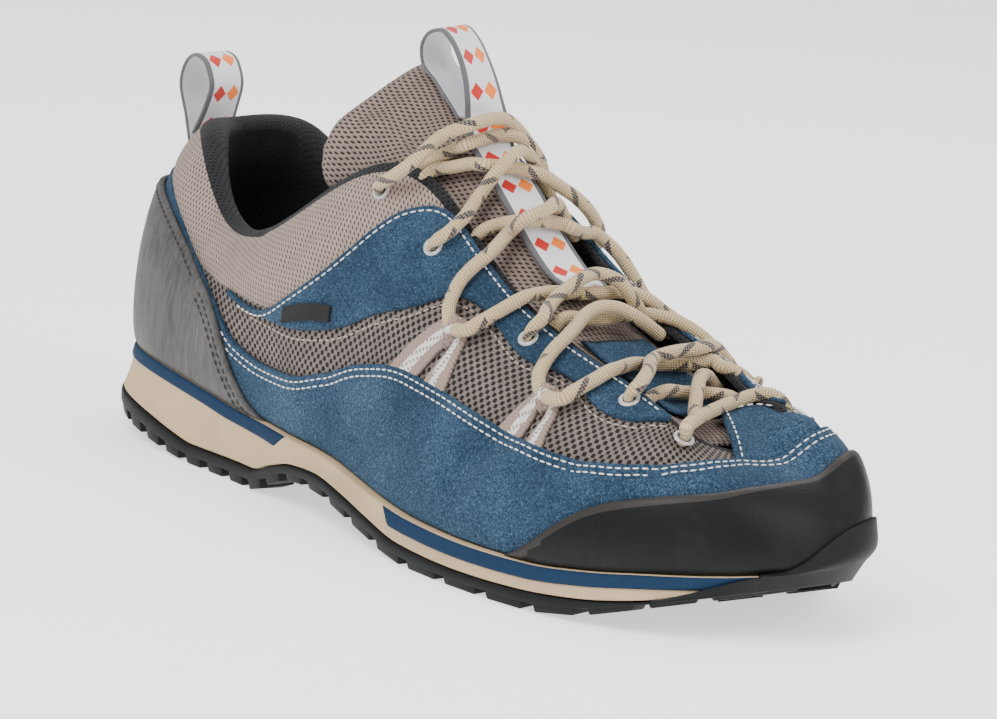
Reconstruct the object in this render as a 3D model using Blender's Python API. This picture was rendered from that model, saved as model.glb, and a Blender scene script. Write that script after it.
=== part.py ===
import math

import bmesh
import bpy
import numpy as np
from mathutils import Vector

# Approach shoe for the right foot, about size EU 42, in metres.
# The heel is at low X, the toe at high X, the inner side of the foot at high Y, and the floor is z = 0.

# Driving sizes
shoe_length = 0.300          # length of the last, heel to toe
ball_width = 0.106           # width at the ball of the foot
upper_height = 0.100         # scale of the upper's height above the sole
sole_height = 0.028          # sole under the heel
gap = 0.0003                 # between pieces that are glued or sewn together
wall = 0.0022                # upper's wall
collar_pad = 0.0058          # what the collar's foam adds to the wall
suede = 0.0014               # mudguard and eyestays
overlay = 0.0018             # heel counter and toe rand
side_flare = 0.0025          # sole's side beyond the upper, at the top
foot_flare = 0.0056          # the same at the foot of the foam
rubber_flare = 0.0062        # and on the rubber
band_height = 0.0040         # blue strips along the top of the midsole
band_thickness = 0.0022
band_stations = 21
insole_thickness = 0.0035
lug_share = 0.45             # share of the rubber's thickness that the lugs take
lug_reach = 0.013            # how far the side lugs run under the foot
lug_draft = 0.0008
heel_lug_pitch = 0.0115
toe_lug_pitch = 0.0172
lug_channel = 0.0034         # open channel between two side lugs
stud_radius = 0.0085
stud_pitch = 0.0280
bumper_thickness = 0.0022
tape_width = 0.0155
tape_thickness = 0.0010
tongue_loop_height = 0.026
tongue_loop_depth = 0.0130
tongue_loop_lean = math.radians(60)
heel_loop_height = 0.020
heel_loop_depth = 0.0120
webbing = 0.0010
tag_thickness = 0.0008
eyelet_radius = 0.0044
eyelet_hole = 0.0026
eyelet_thickness = 0.0010
eyelet_round = 0.0004
lace_width = 0.0046
lace_gap = 0.0006
lace_stations = 7

# Layers, measured outward from the shoe's skin, which is the face of the suede
suede_inner = -suede
upper_face = suede_inner - gap
overlay_inner = gap
overlay_outer = overlay_inner + overlay
bumper_inner = overlay_outer + gap * 2
bumper_outer = bumper_inner + bumper_thickness
bumper_gap = 0.0008
tongue_gap = 0.0010          # lets the soft tongue move under the flaps
tongue_inset = 0.0028        # how far inside the flaps' edges the tongue starts to rise
below_foot = -0.05           # a rise under the upper's foot, for cutting forms
upper_columns = 48
upper_rises = (0.0, 0.16, 0.34, 0.52, 0.70, 0.86, 1.0)
sole_columns_round = 52
cut_reach = 0.0030           # how far a cutting form stands out of the layer that it cuts

# Sections of the upper, round the foot from the heel by the outer side, the toe and the inner side.
# along and across place the foot of each section, top_along and top_across its top edge, as shares
# of shoe_length and ball_width. top_rise, lift and drop are shares of upper_height, flare and crown
# of ball_width: the curve leaves the sole with flare and lift and reaches the top from crown and drop.
section_columns = (
    "along", "across", "top_along", "top_across", "top_rise", "flare", "lift", "crown", "drop",
)
sections = {
    "heel_back": (0.005, 0.000, 0.038, 0.000, 0.680, 0.057, 0.30, 0.113, 0.22),
    "heel_turn_outer": (0.052, -0.250, 0.096, -0.190, 0.670, 0.057, 0.28, 0.132, 0.20),
    "heel_side_outer": (0.146, -0.355, 0.184, -0.270, 0.500, 0.047, 0.18, 0.104, 0.14),
    "waist_outer": (0.300, -0.360, 0.278, -0.300, 0.540, 0.047, 0.22, 0.113, 0.20),
    "instep_outer": (0.387, -0.390, 0.380, -0.245, 0.765, 0.047, 0.30, 0.170, 0.30),
    "shank_outer": (0.473, -0.410, 0.480, -0.175, 0.810, 0.047, 0.28, 0.170, 0.24),
    "ball_outer": (0.623, -0.467, 0.628, -0.170, 0.610, 0.047, 0.26, 0.170, 0.14),
    "toe_side_outer": (0.790, -0.448, 0.788, -0.155, 0.475, 0.047, 0.20, 0.170, 0.08),
    "toe_turn_outer": (0.927, -0.273, 0.860, -0.130, 0.380, 0.047, 0.20, 0.170, 0.06),
    "toe_tip": (0.985, 0.044, 0.880, 0.015, 0.315, 0.038, 0.20, 0.180, 0.06),
    "toe_turn_inner": (0.942, 0.280, 0.870, 0.160, 0.360, 0.047, 0.20, 0.132, 0.06),
    "toe_side_inner": (0.844, 0.417, 0.770, 0.200, 0.460, 0.047, 0.20, 0.151, 0.08),
    "ball_inner": (0.700, 0.455, 0.635, 0.185, 0.590, 0.047, 0.26, 0.170, 0.14),
    "shank_inner": (0.540, 0.370, 0.488, 0.188, 0.770, 0.047, 0.28, 0.170, 0.24),
    "instep_inner": (0.420, 0.300, 0.395, 0.222, 0.790, 0.047, 0.30, 0.170, 0.30),
    "waist_inner": (0.290, 0.300, 0.285, 0.270, 0.570, 0.047, 0.22, 0.113, 0.20),
    "heel_side_inner": (0.147, 0.330, 0.178, 0.275, 0.540, 0.047, 0.18, 0.113, 0.14),
    "heel_turn_inner": (0.050, 0.240, 0.094, 0.200, 0.690, 0.057, 0.28, 0.123, 0.20),
}

# Levels of the sole along the shoe: along is a share of shoe_length, the heights of sole_height
sole_columns = ("along", "tread", "foam", "feather")
sole_rows = (
    (-0.02, 0.260, 0.510, 0.995),
    (0.05, 0.215, 0.470, 0.985),
    (0.10, 0.165, 0.435, 0.975),
    (0.15, 0.090, 0.355, 0.935),
    (0.19, 0.030, 0.270, 0.885),
    (0.23, 0.000, 0.210, 0.830),
    (0.28, 0.000, 0.215, 0.755),
    (0.34, 0.000, 0.225, 0.715),
    (0.38, 0.160, 0.355, 0.705),
    (0.42, 0.300, 0.460, 0.690),
    (0.46, 0.305, 0.480, 0.665),
    (0.52, 0.210, 0.405, 0.585),
    (0.57, 0.120, 0.305, 0.510),
    (0.63, 0.000, 0.195, 0.455),
    (0.72, 0.000, 0.165, 0.430),
    (0.80, 0.000, 0.180, 0.445),
    (0.86, 0.045, 0.225, 0.505),
    (0.91, 0.140, 0.310, 0.580),
    (0.955, 0.250, 0.440, 0.635),
    (1.02, 0.500, 0.640, 0.720),
)

# Overlays: round is the place round the foot, where 0 is the heel's middle, 0.5 the toe and 1 the heel
# again. rise runs from the sole's edge, 0, to the upper's top edge, 1.
mudguard_columns = ("round", "rise")
mudguard_rows = (
    (0.000, 0.760), (0.060, 0.755), (0.090, 0.735), (0.115, 0.680), (0.140, 0.560), (0.155, 0.360),
    (0.170, 0.245), (0.195, 0.180), (0.245, 0.195), (0.280, 0.285), (0.300, 0.380), (0.320, 0.450),
    (0.345, 0.475), (0.375, 0.455), (0.392, 0.465), (0.414, 0.495), (0.431, 0.545), (0.450, 0.640),
    (0.465, 0.715), (0.500, 0.880), (0.535, 0.860), (0.553, 0.800), (0.575, 0.660), (0.600, 0.520),
    (0.630, 0.465), (0.660, 0.475), (0.690, 0.420), (0.715, 0.300), (0.750, 0.200), (0.805, 0.180),
    (0.830, 0.245), (0.845, 0.360), (0.860, 0.560), (0.885, 0.680), (0.910, 0.735), (0.940, 0.755),
)
counter_columns = ("foot_round", "edge_round", "edge_rise")
counter_rows = (
    (0.184, 0.181, 0.030), (0.178, 0.168, 0.150), (0.170, 0.158, 0.300), (0.158, 0.149, 0.460),
    (0.143, 0.139, 0.570), (0.125, 0.124, 0.650), (0.105, 0.105, 0.705), (0.085, 0.085, 0.715),
    (0.055, 0.055, 0.700), (0.028, 0.028, 0.690), (0.000, 0.000, 0.690),
)
rand_rows = (
    (0.3805, 0.015), (0.383, 0.100), (0.388, 0.185), (0.396, 0.275), (0.409, 0.350), (0.425, 0.410),
    (0.440, 0.470), (0.460, 0.590), (0.478, 0.690), (0.500, 0.765), (0.520, 0.780), (0.540, 0.730),
    (0.560, 0.620), (0.575, 0.500), (0.591, 0.350), (0.604, 0.275), (0.612, 0.185), (0.617, 0.100),
    (0.6195, 0.015),
)
bumper_rows = (
    (0.474, 0.005), (0.481, 0.025), (0.489, 0.070), (0.499, 0.145), (0.509, 0.190), (0.520, 0.220),
    (0.540, 0.235), (0.560, 0.220), (0.575, 0.180), (0.588, 0.120), (0.600, 0.050), (0.612, 0.005),
)
eyestay_columns = ("low_round", "low_rise", "high_round", "high_rise")
eyestay_rows = (
    (0.151, 0.620, 0.151, 0.655), (0.183, 0.525, 0.185, 0.550), (0.217, 0.446, 0.213, 0.570),
    (0.247, 0.442, 0.237, 0.629), (0.268, 0.475, 0.252, 0.700), (0.284, 0.545, 0.263, 0.780),
    (0.302, 0.654, 0.276, 0.880), (0.314, 0.787, 0.293, 0.975), (0.324, 0.845, 0.312, 0.985),
    (0.335, 0.840, 0.330, 0.985), (0.350, 0.808, 0.348, 0.985), (0.362, 0.840, 0.362, 0.985),
    (0.374, 0.835, 0.376, 0.985), (0.388, 0.785, 0.390, 0.985), (0.404, 0.808, 0.404, 0.985),
    (0.420, 0.900, 0.418, 0.985), (0.430, 0.955, 0.430, 0.987),
)
# A webbing loop is a folded strap: each row is a point of its outer edge and one of its inner edge
webbing_columns = ("outer_round", "outer_rise", "inner_round", "inner_rise")
rear_webbing_rows = (
    (0.302, 0.425, 0.318, 0.480), (0.3185, 0.735, 0.3240, 0.655), (0.3235, 0.750, 0.3250, 0.640),
    (0.3280, 0.760, 0.3260, 0.660), (0.333, 0.505, 0.322, 0.480),
)
front_webbing_rows = (
    (0.359, 0.520, 0.369, 0.495), (0.3640, 0.730, 0.3680, 0.660), (0.3680, 0.745, 0.3695, 0.645),
    (0.3725, 0.750, 0.3710, 0.665), (0.379, 0.520, 0.372, 0.490),
)
tag_rows = ((0.214, 0.467, 0.214, 0.525), (0.236, 0.467, 0.236, 0.522), (0.258, 0.471, 0.256, 0.518))

# Eyelets and lace points on the outer side, from the toe up; loops have no eyelet
# dive is how much nearer the toe a strand from the other side goes under the flap
lace_columns = ("round", "rise", "eyelet", "dive")
lace_rows = (
    (0.446, 0.867, True, 0.000), (0.398, 0.900, True, 0.015), (0.368, 0.735, False, 0.015),
    (0.347, 0.883, True, 0.015), (0.3235, 0.740, False, 0.015), (0.297, 0.850, True, 0.015),
    (0.2535, 0.905, True, 0.032),
)
lace_bow = 0.010             # the top strands bend this far towards the toe

# Tongue under the flaps: round is where its edges pass under the upper, rise how far they reach under
# it, crown the middle's height above them as a share of upper_height, pad its thickness in walls
tongue_columns = ("round", "rise", "crown", "pad")
tongue_rows = (
    (0.452, 0.840, -0.004, 0.9), (0.438, 0.840, -0.008, 1.2), (0.415, 0.860, -0.014, 1.4),
    (0.388, 0.860, -0.022, 1.5), (0.362, 0.860, -0.012, 1.6), (0.341, 0.870, 0.040, 1.7),
    (0.320, 0.890, 0.082, 1.8), (0.300, 0.930, 0.115, 1.9), (0.281, 0.970, 0.130, 2.1),
    (0.264, 0.990, 0.140, 2.6),
)
# Tongue above the flaps: centre line and half width as shares, drop of its edges in upper_heights
tip_columns = ("along", "rise", "half_width", "drop", "pad")
tip_rows = (
    (0.412, 1.022, 0.155, 0.200, 3.8), (0.395, 1.062, 0.200, 0.285, 4.4), (0.386, 1.085, 0.205, 0.300, 3.6),
    (0.382, 1.096, 0.190, 0.290, 1.6),
)
# Pull loops, from where they leave the shoe: rise and side as shares of the loop's height and depth
tongue_loop_rows = (
    (0.10, 0.10), (0.30, 0.42), (0.55, 0.72), (0.80, 0.80), (0.95, 0.55), (1.00, 0.22), (0.94, -0.08),
    (0.78, -0.20), (0.52, -0.20), (0.28, -0.13), (0.10, -0.03),
)
heel_loop_rows = (
    (0.30, -0.38), (0.62, -0.50), (0.88, -0.32), (1.00, 0.05), (0.90, 0.40), (0.62, 0.55), (0.40, 0.52),
)
tape_first_row = 5
throat_middle = 0.020        # sideways place of the tongue's middle, in ball_widths


def column(rows, columns, name):
    return np.array([row[columns.index(name)] for row in rows], float)


# A smooth closed curve through values that stand at even steps of t, from 0 to 1
def closed_spline(values, t):
    count = len(values)
    system = 4.0 * np.eye(count) + np.roll(np.eye(count), 1, 0) + np.roll(np.eye(count), -1, 0)
    slopes = np.linalg.solve(system, 3.0 * (np.roll(values, -1, 0) - np.roll(values, 1, 0)))
    place = (np.asarray(t, float) % 1.0) * count
    low = np.floor(place).astype(int) % count
    f = (place - np.floor(place))[:, None]
    high = (low + 1) % count
    start = (2 * f**3 - 3 * f**2 + 1) * values[low] + (f**3 - 2 * f**2 + f) * slopes[low]
    return start + (-2 * f**3 + 3 * f**2) * values[high] + (f**3 - f**2) * slopes[high]


# A curve through points xs, ys that never overshoots them
def run_curve(xs, ys, x):
    steps = np.diff(xs)
    rates = np.diff(ys) / steps
    slopes = np.zeros(len(xs))
    slopes[0], slopes[-1] = rates[0], rates[-1]
    for k in range(1, len(xs) - 1):
        if rates[k - 1] * rates[k] > 0:
            a = 2 * steps[k] + steps[k - 1]
            b = steps[k] + 2 * steps[k - 1]
            slopes[k] = (a + b) / (a / rates[k - 1] + b / rates[k])
    x = np.clip(x, xs[0], xs[-1])
    low = np.clip(np.searchsorted(xs, x, side="right") - 1, 0, len(xs) - 2)
    f = (x - xs[low]) / steps[low]
    start = (2 * f**3 - 3 * f**2 + 1) * ys[low] + (f**3 - 2 * f**2 + f) * steps[low] * slopes[low]
    return start + (-2 * f**3 + 3 * f**2) * ys[low + 1] + (f**3 - f**2) * steps[low] * slopes[low + 1]


def smooth_step(x, low, high):
    f = np.clip((np.asarray(x, float) - low) / (high - low), 0.0, 1.0)
    return f * f * (3 - 2 * f)


# A smooth run of points through the given ones, with some points added between each two
def smooth_run(points, between):
    points = np.asarray(points, float)
    ends = np.concatenate([[2 * points[0] - points[1]], points, [2 * points[-1] - points[-2]]])
    run = []
    for k in range(1, len(ends) - 2):
        a, b, c, d = ends[k - 1], ends[k], ends[k + 1], ends[k + 2]
        for step in range(between + 1):
            f = step / (between + 1)
            run.append(b + 0.5 * f * (c - a + f * (2 * a - 5 * b + 4 * c - d + f * (3 * (b - c) + d - a))))
    run.append(points[-1])
    return np.array(run)


def sole_level(x, level):
    along = column(sole_rows, sole_columns, "along") * shoe_length
    return run_curve(along, column(sole_rows, sole_columns, level) * sole_height, x)


section_table = np.array(list(sections.values()))


def section_value(table, name):
    return table[:, section_columns.index(name)]


# The foot of the sections at the places round the foot, and the way out from the shoe there
def foot_line(round_):
    table = closed_spline(section_table, round_)
    step = 0.0001
    change = closed_spline(section_table, round_ + step) - closed_spline(section_table, round_ - step)
    x = section_value(table, "along") * shoe_length
    y = section_value(table, "across") * ball_width
    turn_x = section_value(change, "along") * shoe_length
    turn_y = section_value(change, "across") * ball_width
    way = np.stack([turn_y, -turn_x], 1)
    way /= np.linalg.norm(way, axis=1)[:, None]
    return np.stack([x, y], 1), way, table


# Points of the shoe's skin, before it is moved outward
def skin_point(round_, rise):
    foot, way, table = foot_line(round_)
    start = np.column_stack([foot, sole_level(foot[:, 0], "feather")])
    top_x = section_value(table, "top_along") * shoe_length
    top_y = section_value(table, "top_across") * ball_width
    top_z = sole_level(top_x, "feather") + section_value(table, "top_rise") * upper_height
    end = np.column_stack([top_x, top_y, top_z])
    leave = np.column_stack([way * section_value(table, "flare")[:, None] * ball_width,
                             section_value(table, "lift") * upper_height])
    reach = np.column_stack([way * section_value(table, "crown")[:, None] * ball_width,
                             -section_value(table, "drop") * upper_height])
    v = rise[:, None]
    w = 1 - v
    return w**3 * start + 3 * w**2 * v * (start + leave) + 3 * w * v**2 * (end + reach) + v**3 * end


def skin_normal(round_, rise):
    step = 0.0005
    along = skin_point(round_ + step, rise) - skin_point(round_ - step, rise)
    up = skin_point(round_, rise + step) - skin_point(round_, rise - step)
    normal = np.cross(along, up)
    return normal / np.linalg.norm(normal, axis=1)[:, None]


# Points moved outward from the skin. The foot of every layer stays on the sole's top.
def skin(round_, rise, out):
    shape = np.broadcast(round_, rise, out).shape
    round_, rise, out = [np.broadcast_to(a, shape).astype(float).ravel() for a in (round_, rise, out)]
    on_upper = np.maximum(rise, 0.0)
    points = skin_point(round_, on_upper) + skin_normal(round_, on_upper) * out[:, None]
    points[:, 2] += (1 - on_upper)**4 * (sole_level(points[:, 0], "feather") - points[:, 2])
    points[:, 2] += np.minimum(rise, 0.0) * upper_height
    return points.reshape(shape + (3,))


# Points on the side of the sole: depth 0 is its top edge, 1 the foot of the foam
def sole_side(round_, depth, out):
    shape = np.broadcast(round_, depth, out).shape
    round_, depth, out = [np.broadcast_to(a, shape).astype(float).ravel() for a in (round_, depth, out)]
    foot, way, _ = foot_line(round_)
    under_bumper = smooth_step(round_, 0.440, 0.474) * (1 - smooth_step(round_, 0.612, 0.646))
    flare = side_flare + (foot_flare - side_flare) * depth * (1 - under_bumper)
    side = foot + way * flare[:, None]
    plan = side + way * out[:, None]
    top = sole_level(side[:, 0], "feather") - gap
    low = sole_level(side[:, 0], "foam") + gap
    return np.column_stack([plan, top + (low - top) * depth]).reshape(shape + (3,))


def new_material(name, colour, roughness, metallic=0.0):
    made = bpy.data.materials.new(name)
    made.use_nodes = True
    shader = made.node_tree.nodes["Principled BSDF"]
    shader.inputs["Base Color"].default_value = (*colour, 1.0)
    shader.inputs["Roughness"].default_value = roughness
    shader.inputs["Metallic"].default_value = metallic
    return made


def add_object(name, mesh, finish, where):
    made = bpy.data.objects.new(name, mesh)
    mesh.materials.clear()
    mesh.materials.append(finish)
    where.objects.link(made)
    if where.name == "cutters":
        made.hide_render = True
        made.display_type = "WIRE"
    return made


def mesh_of(name, points, faces, smooth=True):
    bm = bmesh.new()
    verts = [bm.verts.new(point) for point in points]
    for face in faces:
        corners = list(dict.fromkeys(face))
        if len(corners) > 2:
            bm.faces.new([verts[k] for k in corners])
    bmesh.ops.remove_doubles(bm, verts=bm.verts[:], dist=0.000001)
    bmesh.ops.recalc_face_normals(bm, faces=bm.faces[:])
    mesh = bpy.data.meshes.new(name)
    bm.to_mesh(mesh)
    bm.free()
    if smooth:
        mesh.shade_smooth()
        mesh.set_sharp_from_angle(angle=math.radians(40))
    return mesh


# A closed solid between two nets of points with the same rows and columns. Both nets are cut into
# triangles the same way, so that layers with the same rows and columns can't touch.
def shell(name, outer, inner, finish, where, wrap=False):
    rows, width = outer.shape[:2]
    points = np.concatenate([outer.reshape(-1, 3), inner.reshape(-1, 3)])
    faces = []

    def at(layer, i, j):
        return layer * rows * width + (i % rows) * width + j

    for i in range(rows if wrap else rows - 1):
        for j in range(width - 1):
            for layer in (0, 1):
                corner, far = at(layer, i, j), at(layer, i + 1, j + 1)
                faces.append((corner, at(layer, i + 1, j), far))
                faces.append((corner, far, at(layer, i, j + 1)))
        for j in (0, width - 1):
            faces.append((at(0, i, j), at(0, i + 1, j), at(1, i + 1, j)))
            faces.append((at(0, i, j), at(1, i + 1, j), at(1, i, j)))
    if not wrap:
        for i in (0, rows - 1):
            for j in range(width - 1):
                faces.append((at(0, i, j), at(0, i, j + 1), at(1, i, j + 1), at(1, i, j)))
    return add_object(name, mesh_of(name, points, faces), finish, where)


# A closed solid from rings that run round the foot, top ring first, with ribs across top and bottom
def loaf(name, rings, finish, where):
    count = len(rings[0])
    points = np.concatenate(rings)
    faces = []
    for ring in range(len(rings) - 1):
        for i in range(count):
            j = (i + 1) % count
            above, below = ring * count, (ring + 1) * count
            faces.append((above + i, above + j, below + j, below + i))
    for base in (0, (len(rings) - 1) * count):
        for i in range(count // 2):
            faces.append((base + i, base + i + 1, base + count - i - 1, base + (count - i) % count))
    return add_object(name, mesh_of(name, points, faces), finish, where)


def boolean(target, tool, operation):
    change = target.modifiers.new(operation.lower() + "_" + tool.name, "BOOLEAN")
    change.operation = operation
    change.object = tool
    change.solver = "EXACT"


# A form between two lines on the skin, given by rows of places
def region(name, edges, inner, outer, steps, finish, where, wrap=False):
    low_round, low_rise, high_round, high_rise = [np.asarray(edge, float)[:, None] for edge in edges]
    f = np.linspace(0.0, 1.0, steps)[None, :]
    round_ = low_round * (1 - f) + high_round * f
    rise = low_rise * (1 - f) + high_rise * f
    return shell(name, skin(round_, rise, outer), skin(round_, rise, inner), finish, where, wrap)


# A layer over the upper with the upper's own facets, between two places round the foot
def layer(name, first, last, inner, outer, finish, where):
    wrap = last - first >= 1
    low = 0 if wrap else math.floor(first * upper_columns) - 1
    high = upper_columns if wrap else math.ceil(last * upper_columns) + 2
    round_ = np.arange(low, high)[:, None] / upper_columns
    rise = np.array(upper_rises)[None, :]
    return shell(name, skin(round_, rise, outer), skin(round_, rise, inner), finish, where, wrap)


# An overlay: a layer of the upper cut to a region's outline
def overlay_piece(name, edges, inner, outer, finish, where, cutters, steps=5):
    places = np.concatenate([edges[0], edges[2]])
    made = layer(name, places.min(), places.max(), inner, outer, finish, where)
    form = region(name + "_outline", edges, inner - cut_reach, outer + cut_reach, steps, finish, cutters)
    boolean(made, form, "INTERSECT")
    return made


def even_round(count):
    return np.arange(count) / count


def collar_share(round_):
    away = np.minimum(round_ % 1.0, 1 - round_ % 1.0)
    return 1 - smooth_step(away, 0.180, 0.250)


def wall_at(round_, rise):
    return wall + collar_pad * collar_share(round_) * smooth_step(rise, 0.45, 0.90)


def build_upper(finish, where):
    round_ = even_round(upper_columns)[:, None]
    rise = np.array(upper_rises)[None, :]
    nets = []
    for side in (0, 1):
        out = upper_face - side * wall_at(round_, rise)
        nets.append(skin(round_, rise, out))
    outer, inner = nets
    middle = (outer[:, -1] + inner[:, -1]) / 2
    half = (outer[:, -1] - inner[:, -1]) / 2
    up = outer[:, -1] - outer[:, -2]
    up /= np.linalg.norm(up, axis=1)[:, None]
    crest = up * np.linalg.norm(half, axis=1)[:, None] * 0.7
    lips = [(middle + half * math.cos(a) + crest * math.sin(a))[:, None] for a in (1.0, math.pi - 1.0)]
    outer = np.concatenate([outer, lips[0]], 1)
    inner = np.concatenate([inner, lips[1]], 1)
    return shell("upper", outer, inner, finish, where, wrap=True)


def build_mudguard(finish, where, cutters):
    made = layer("mudguard", 0.0, 1.0, suede_inner, 0.0, finish, where)
    round_ = even_round(48)
    places = column(mudguard_rows, mudguard_columns, "round")
    rises = column(mudguard_rows, mudguard_columns, "rise")
    edge = run_curve(np.append(places, 1.0), np.append(rises, rises[0]), round_)
    edges = (round_, edge, round_, np.full(len(edge), 1.06))
    above = region("mudguard_top", edges, suede_inner - cut_reach, cut_reach, 4, finish, cutters, wrap=True)
    boolean(made, above, "DIFFERENCE")
    return made


def build_counter(finish, where, cutters):
    half = np.array(counter_rows).T
    foot = np.concatenate([-half[0], half[0][-2::-1]])
    edge = np.concatenate([-half[1], half[1][-2::-1]])
    rise = np.concatenate([half[2], half[2][-2::-1]])
    edges = (foot, np.full(len(foot), below_foot), edge, rise)
    return overlay_piece("heel_counter", edges, overlay_inner, overlay_outer, finish, where, cutters, 5)


def build_rand(finish, where, cutters):
    place, rise = np.array(rand_rows).T
    edges = (place, np.full(len(place), below_foot), place, rise)
    return overlay_piece("toe_rand", edges, overlay_inner, overlay_outer, finish, where, cutters, 5)


def mirrored(edges, side):
    if side == "outer":
        return edges
    return (1 - edges[0], edges[1], 1 - edges[2], edges[3])


def build_eyestay(side, finish, where, cutters):
    edges = mirrored(np.array(eyestay_rows).T, side)
    name = "eyestay_" + side
    return overlay_piece(name, edges, suede_inner, 0.0, finish, where, cutters, 4)


def build_webbing(name, rows, side, finish, where, cutters):
    edges = mirrored(np.array(rows).T, side)
    inner = upper_face + gap
    return overlay_piece(name + side, edges, inner, inner + webbing, finish, where, cutters, 3)


def build_insole(finish, where):
    round_ = even_round(sole_columns_round)
    inset = upper_face - wall - 2 * gap
    low = skin(round_, 0.0, inset)
    lift = section_value(foot_line(round_)[2], "lift") * upper_height
    high = skin(round_, insole_thickness / (3 * lift), inset)
    high[:, 2] = sole_level(high[:, 0], "feather") + insole_thickness
    return loaf("insole", [high, low], finish, where)


def depth_of(round_, height):
    foot, _, _ = foot_line(round_)
    full = sole_level(foot[:, 0], "feather") - sole_level(foot[:, 0], "foam") - 2 * gap
    return height / full


# A blue strip in the sole's top edge; grow makes the tool that cuts its seat in the foam, which also
# reaches above the edge and out of the side
def band_form(name, top_ends, low_ends, grow, finish, where):
    f = np.linspace(0.0, 1.0, band_stations)
    top = top_ends[0] + (top_ends[1] - top_ends[0]) * f
    low = low_ends[0] + (low_ends[1] - low_ends[0]) * f
    low_depth = np.minimum(depth_of(low, band_height), 0.8) + depth_of(low, grow)
    top[0], top[-1] = top[0] - grow * 4, top[-1] + grow * 4
    low[0], low[-1] = low[0] - grow * 4, low[-1] + grow * 4
    places, depths = [top, low], [np.zeros(band_stations), low_depth]
    if grow:
        above = -depth_of(top, grow * 4)
        places.insert(0, top + (low - top) * above / low_depth)
        depths.insert(0, above)
    places, depths = np.stack(places, 1), np.stack(depths, 1)
    outer = sole_side(places, depths, grow * 6)
    inner = sole_side(places, depths, -band_thickness - grow)
    return shell(name, outer, inner, finish, where)


def build_midsole(foam, blue, where, cutters):
    round_ = even_round(sole_columns_round)
    rings = [sole_side(round_, depth, bulge) for depth, bulge in
             ((0.0, 0.0), (0.45, -0.0003), (0.92, 0.0), (1.0, -0.0008))]
    midsole = loaf("midsole", rings, foam, where)
    bands = (("midsole_heel_band", (-0.229, 0.229), (-0.213, 0.213)),
             ("midsole_front_band", (0.319, 0.681), (0.327, 0.673)))
    for name, top_ends, low_ends in bands:
        band_form(name, top_ends, low_ends, 0.0, blue, where)
        boolean(midsole, band_form(name + "_seat", top_ends, low_ends, gap, blue, cutters), "DIFFERENCE")
    return midsole


def plate_bottom(x):
    return sole_level(x, "tread") + lug_share * (sole_level(x, "foam") - sole_level(x, "tread"))


def rubber_outline(round_, out):
    foot, way, _ = foot_line(np.asarray(round_, float))
    return foot + way * out


# One lug: a block from inside the plate down to the tread, a little smaller at its foot
def add_lug(bm, plan, middle):
    plan = np.array(plan)
    small = plan + (middle - plan) / np.linalg.norm(middle - plan, axis=1)[:, None] * lug_draft
    root = 0.001
    high = [bm.verts.new((x, y, plate_bottom(x) + root)) for x, y in plan]
    low = [bm.verts.new((x, y, sole_level(x, "tread"))) for x, y in small]
    bm.faces.new(high)
    bm.faces.new(low)
    for k in range(len(plan)):
        j = (k + 1) % len(plan)
        bm.faces.new((high[k], high[j], low[j], low[k]))


# Side lugs stand at even steps along the edge, closer together at the heel
def side_lug_places(start, end):
    walk = np.linspace(start, end, 600)
    line = rubber_outline(walk, rubber_flare)
    length = np.append(0.0, np.cumsum(np.linalg.norm(np.diff(line, axis=0), axis=1)))
    along = line[:, 0] / shoe_length
    pitch_at = heel_lug_pitch + (toe_lug_pitch - heel_lug_pitch) * smooth_step(along, 0.35, 0.65)
    places = []
    s = lug_channel / 2
    while True:
        pitch = np.interp(s, length, pitch_at)
        if s + pitch - lug_channel / 2 > length[-1]:
            break
        places.append(np.interp([s, s + pitch - lug_channel], length, walk))
        s += pitch
    return places


def build_lugs(finish, where):
    bm = bmesh.new()
    for start, end in ((0.0, 0.5), (1.0, 0.5)):
        for first, last in side_lug_places(start, end):
            ends = np.array([first, last])
            outer = rubber_outline(ends, rubber_flare - gap)
            inner = rubber_outline(ends[::-1], rubber_flare - lug_reach)
            plan = np.concatenate([outer, inner])
            add_lug(bm, plan, plan.mean(0))
    edge = rubber_outline(np.linspace(0, 1, 400), rubber_flare - lug_reach - lug_channel - stud_radius)
    angles = np.arange(4) * math.tau / 4
    diamond = np.stack([np.cos(angles), np.sin(angles)], 1) * stud_radius
    rows = int(shoe_length / stud_pitch)
    for row in range(1, rows):
        x = (row + 0.5) * stud_pitch
        near = edge[np.abs(edge[:, 0] - x) < stud_pitch / 3]
        if len(near) < 2:
            continue
        low = near[near[:, 1] < 0][:, 1].max(initial=-1.0)
        high = near[near[:, 1] > 0][:, 1].min(initial=1.0)
        if high - low < 0 or high > ball_width or low < -ball_width:
            continue
        count = max(1, int((high - low) / stud_pitch) + 1)
        for k in range(count):
            y = (low + high) / 2 + (k - (count - 1) / 2) * stud_pitch
            middle = np.array([x, y])
            add_lug(bm, middle + diamond, middle)
    bmesh.ops.recalc_face_normals(bm, faces=bm.faces[:])
    mesh = bpy.data.meshes.new("lugs")
    bm.to_mesh(mesh)
    bm.free()
    return add_object("lugs", mesh, finish, where)


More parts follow.
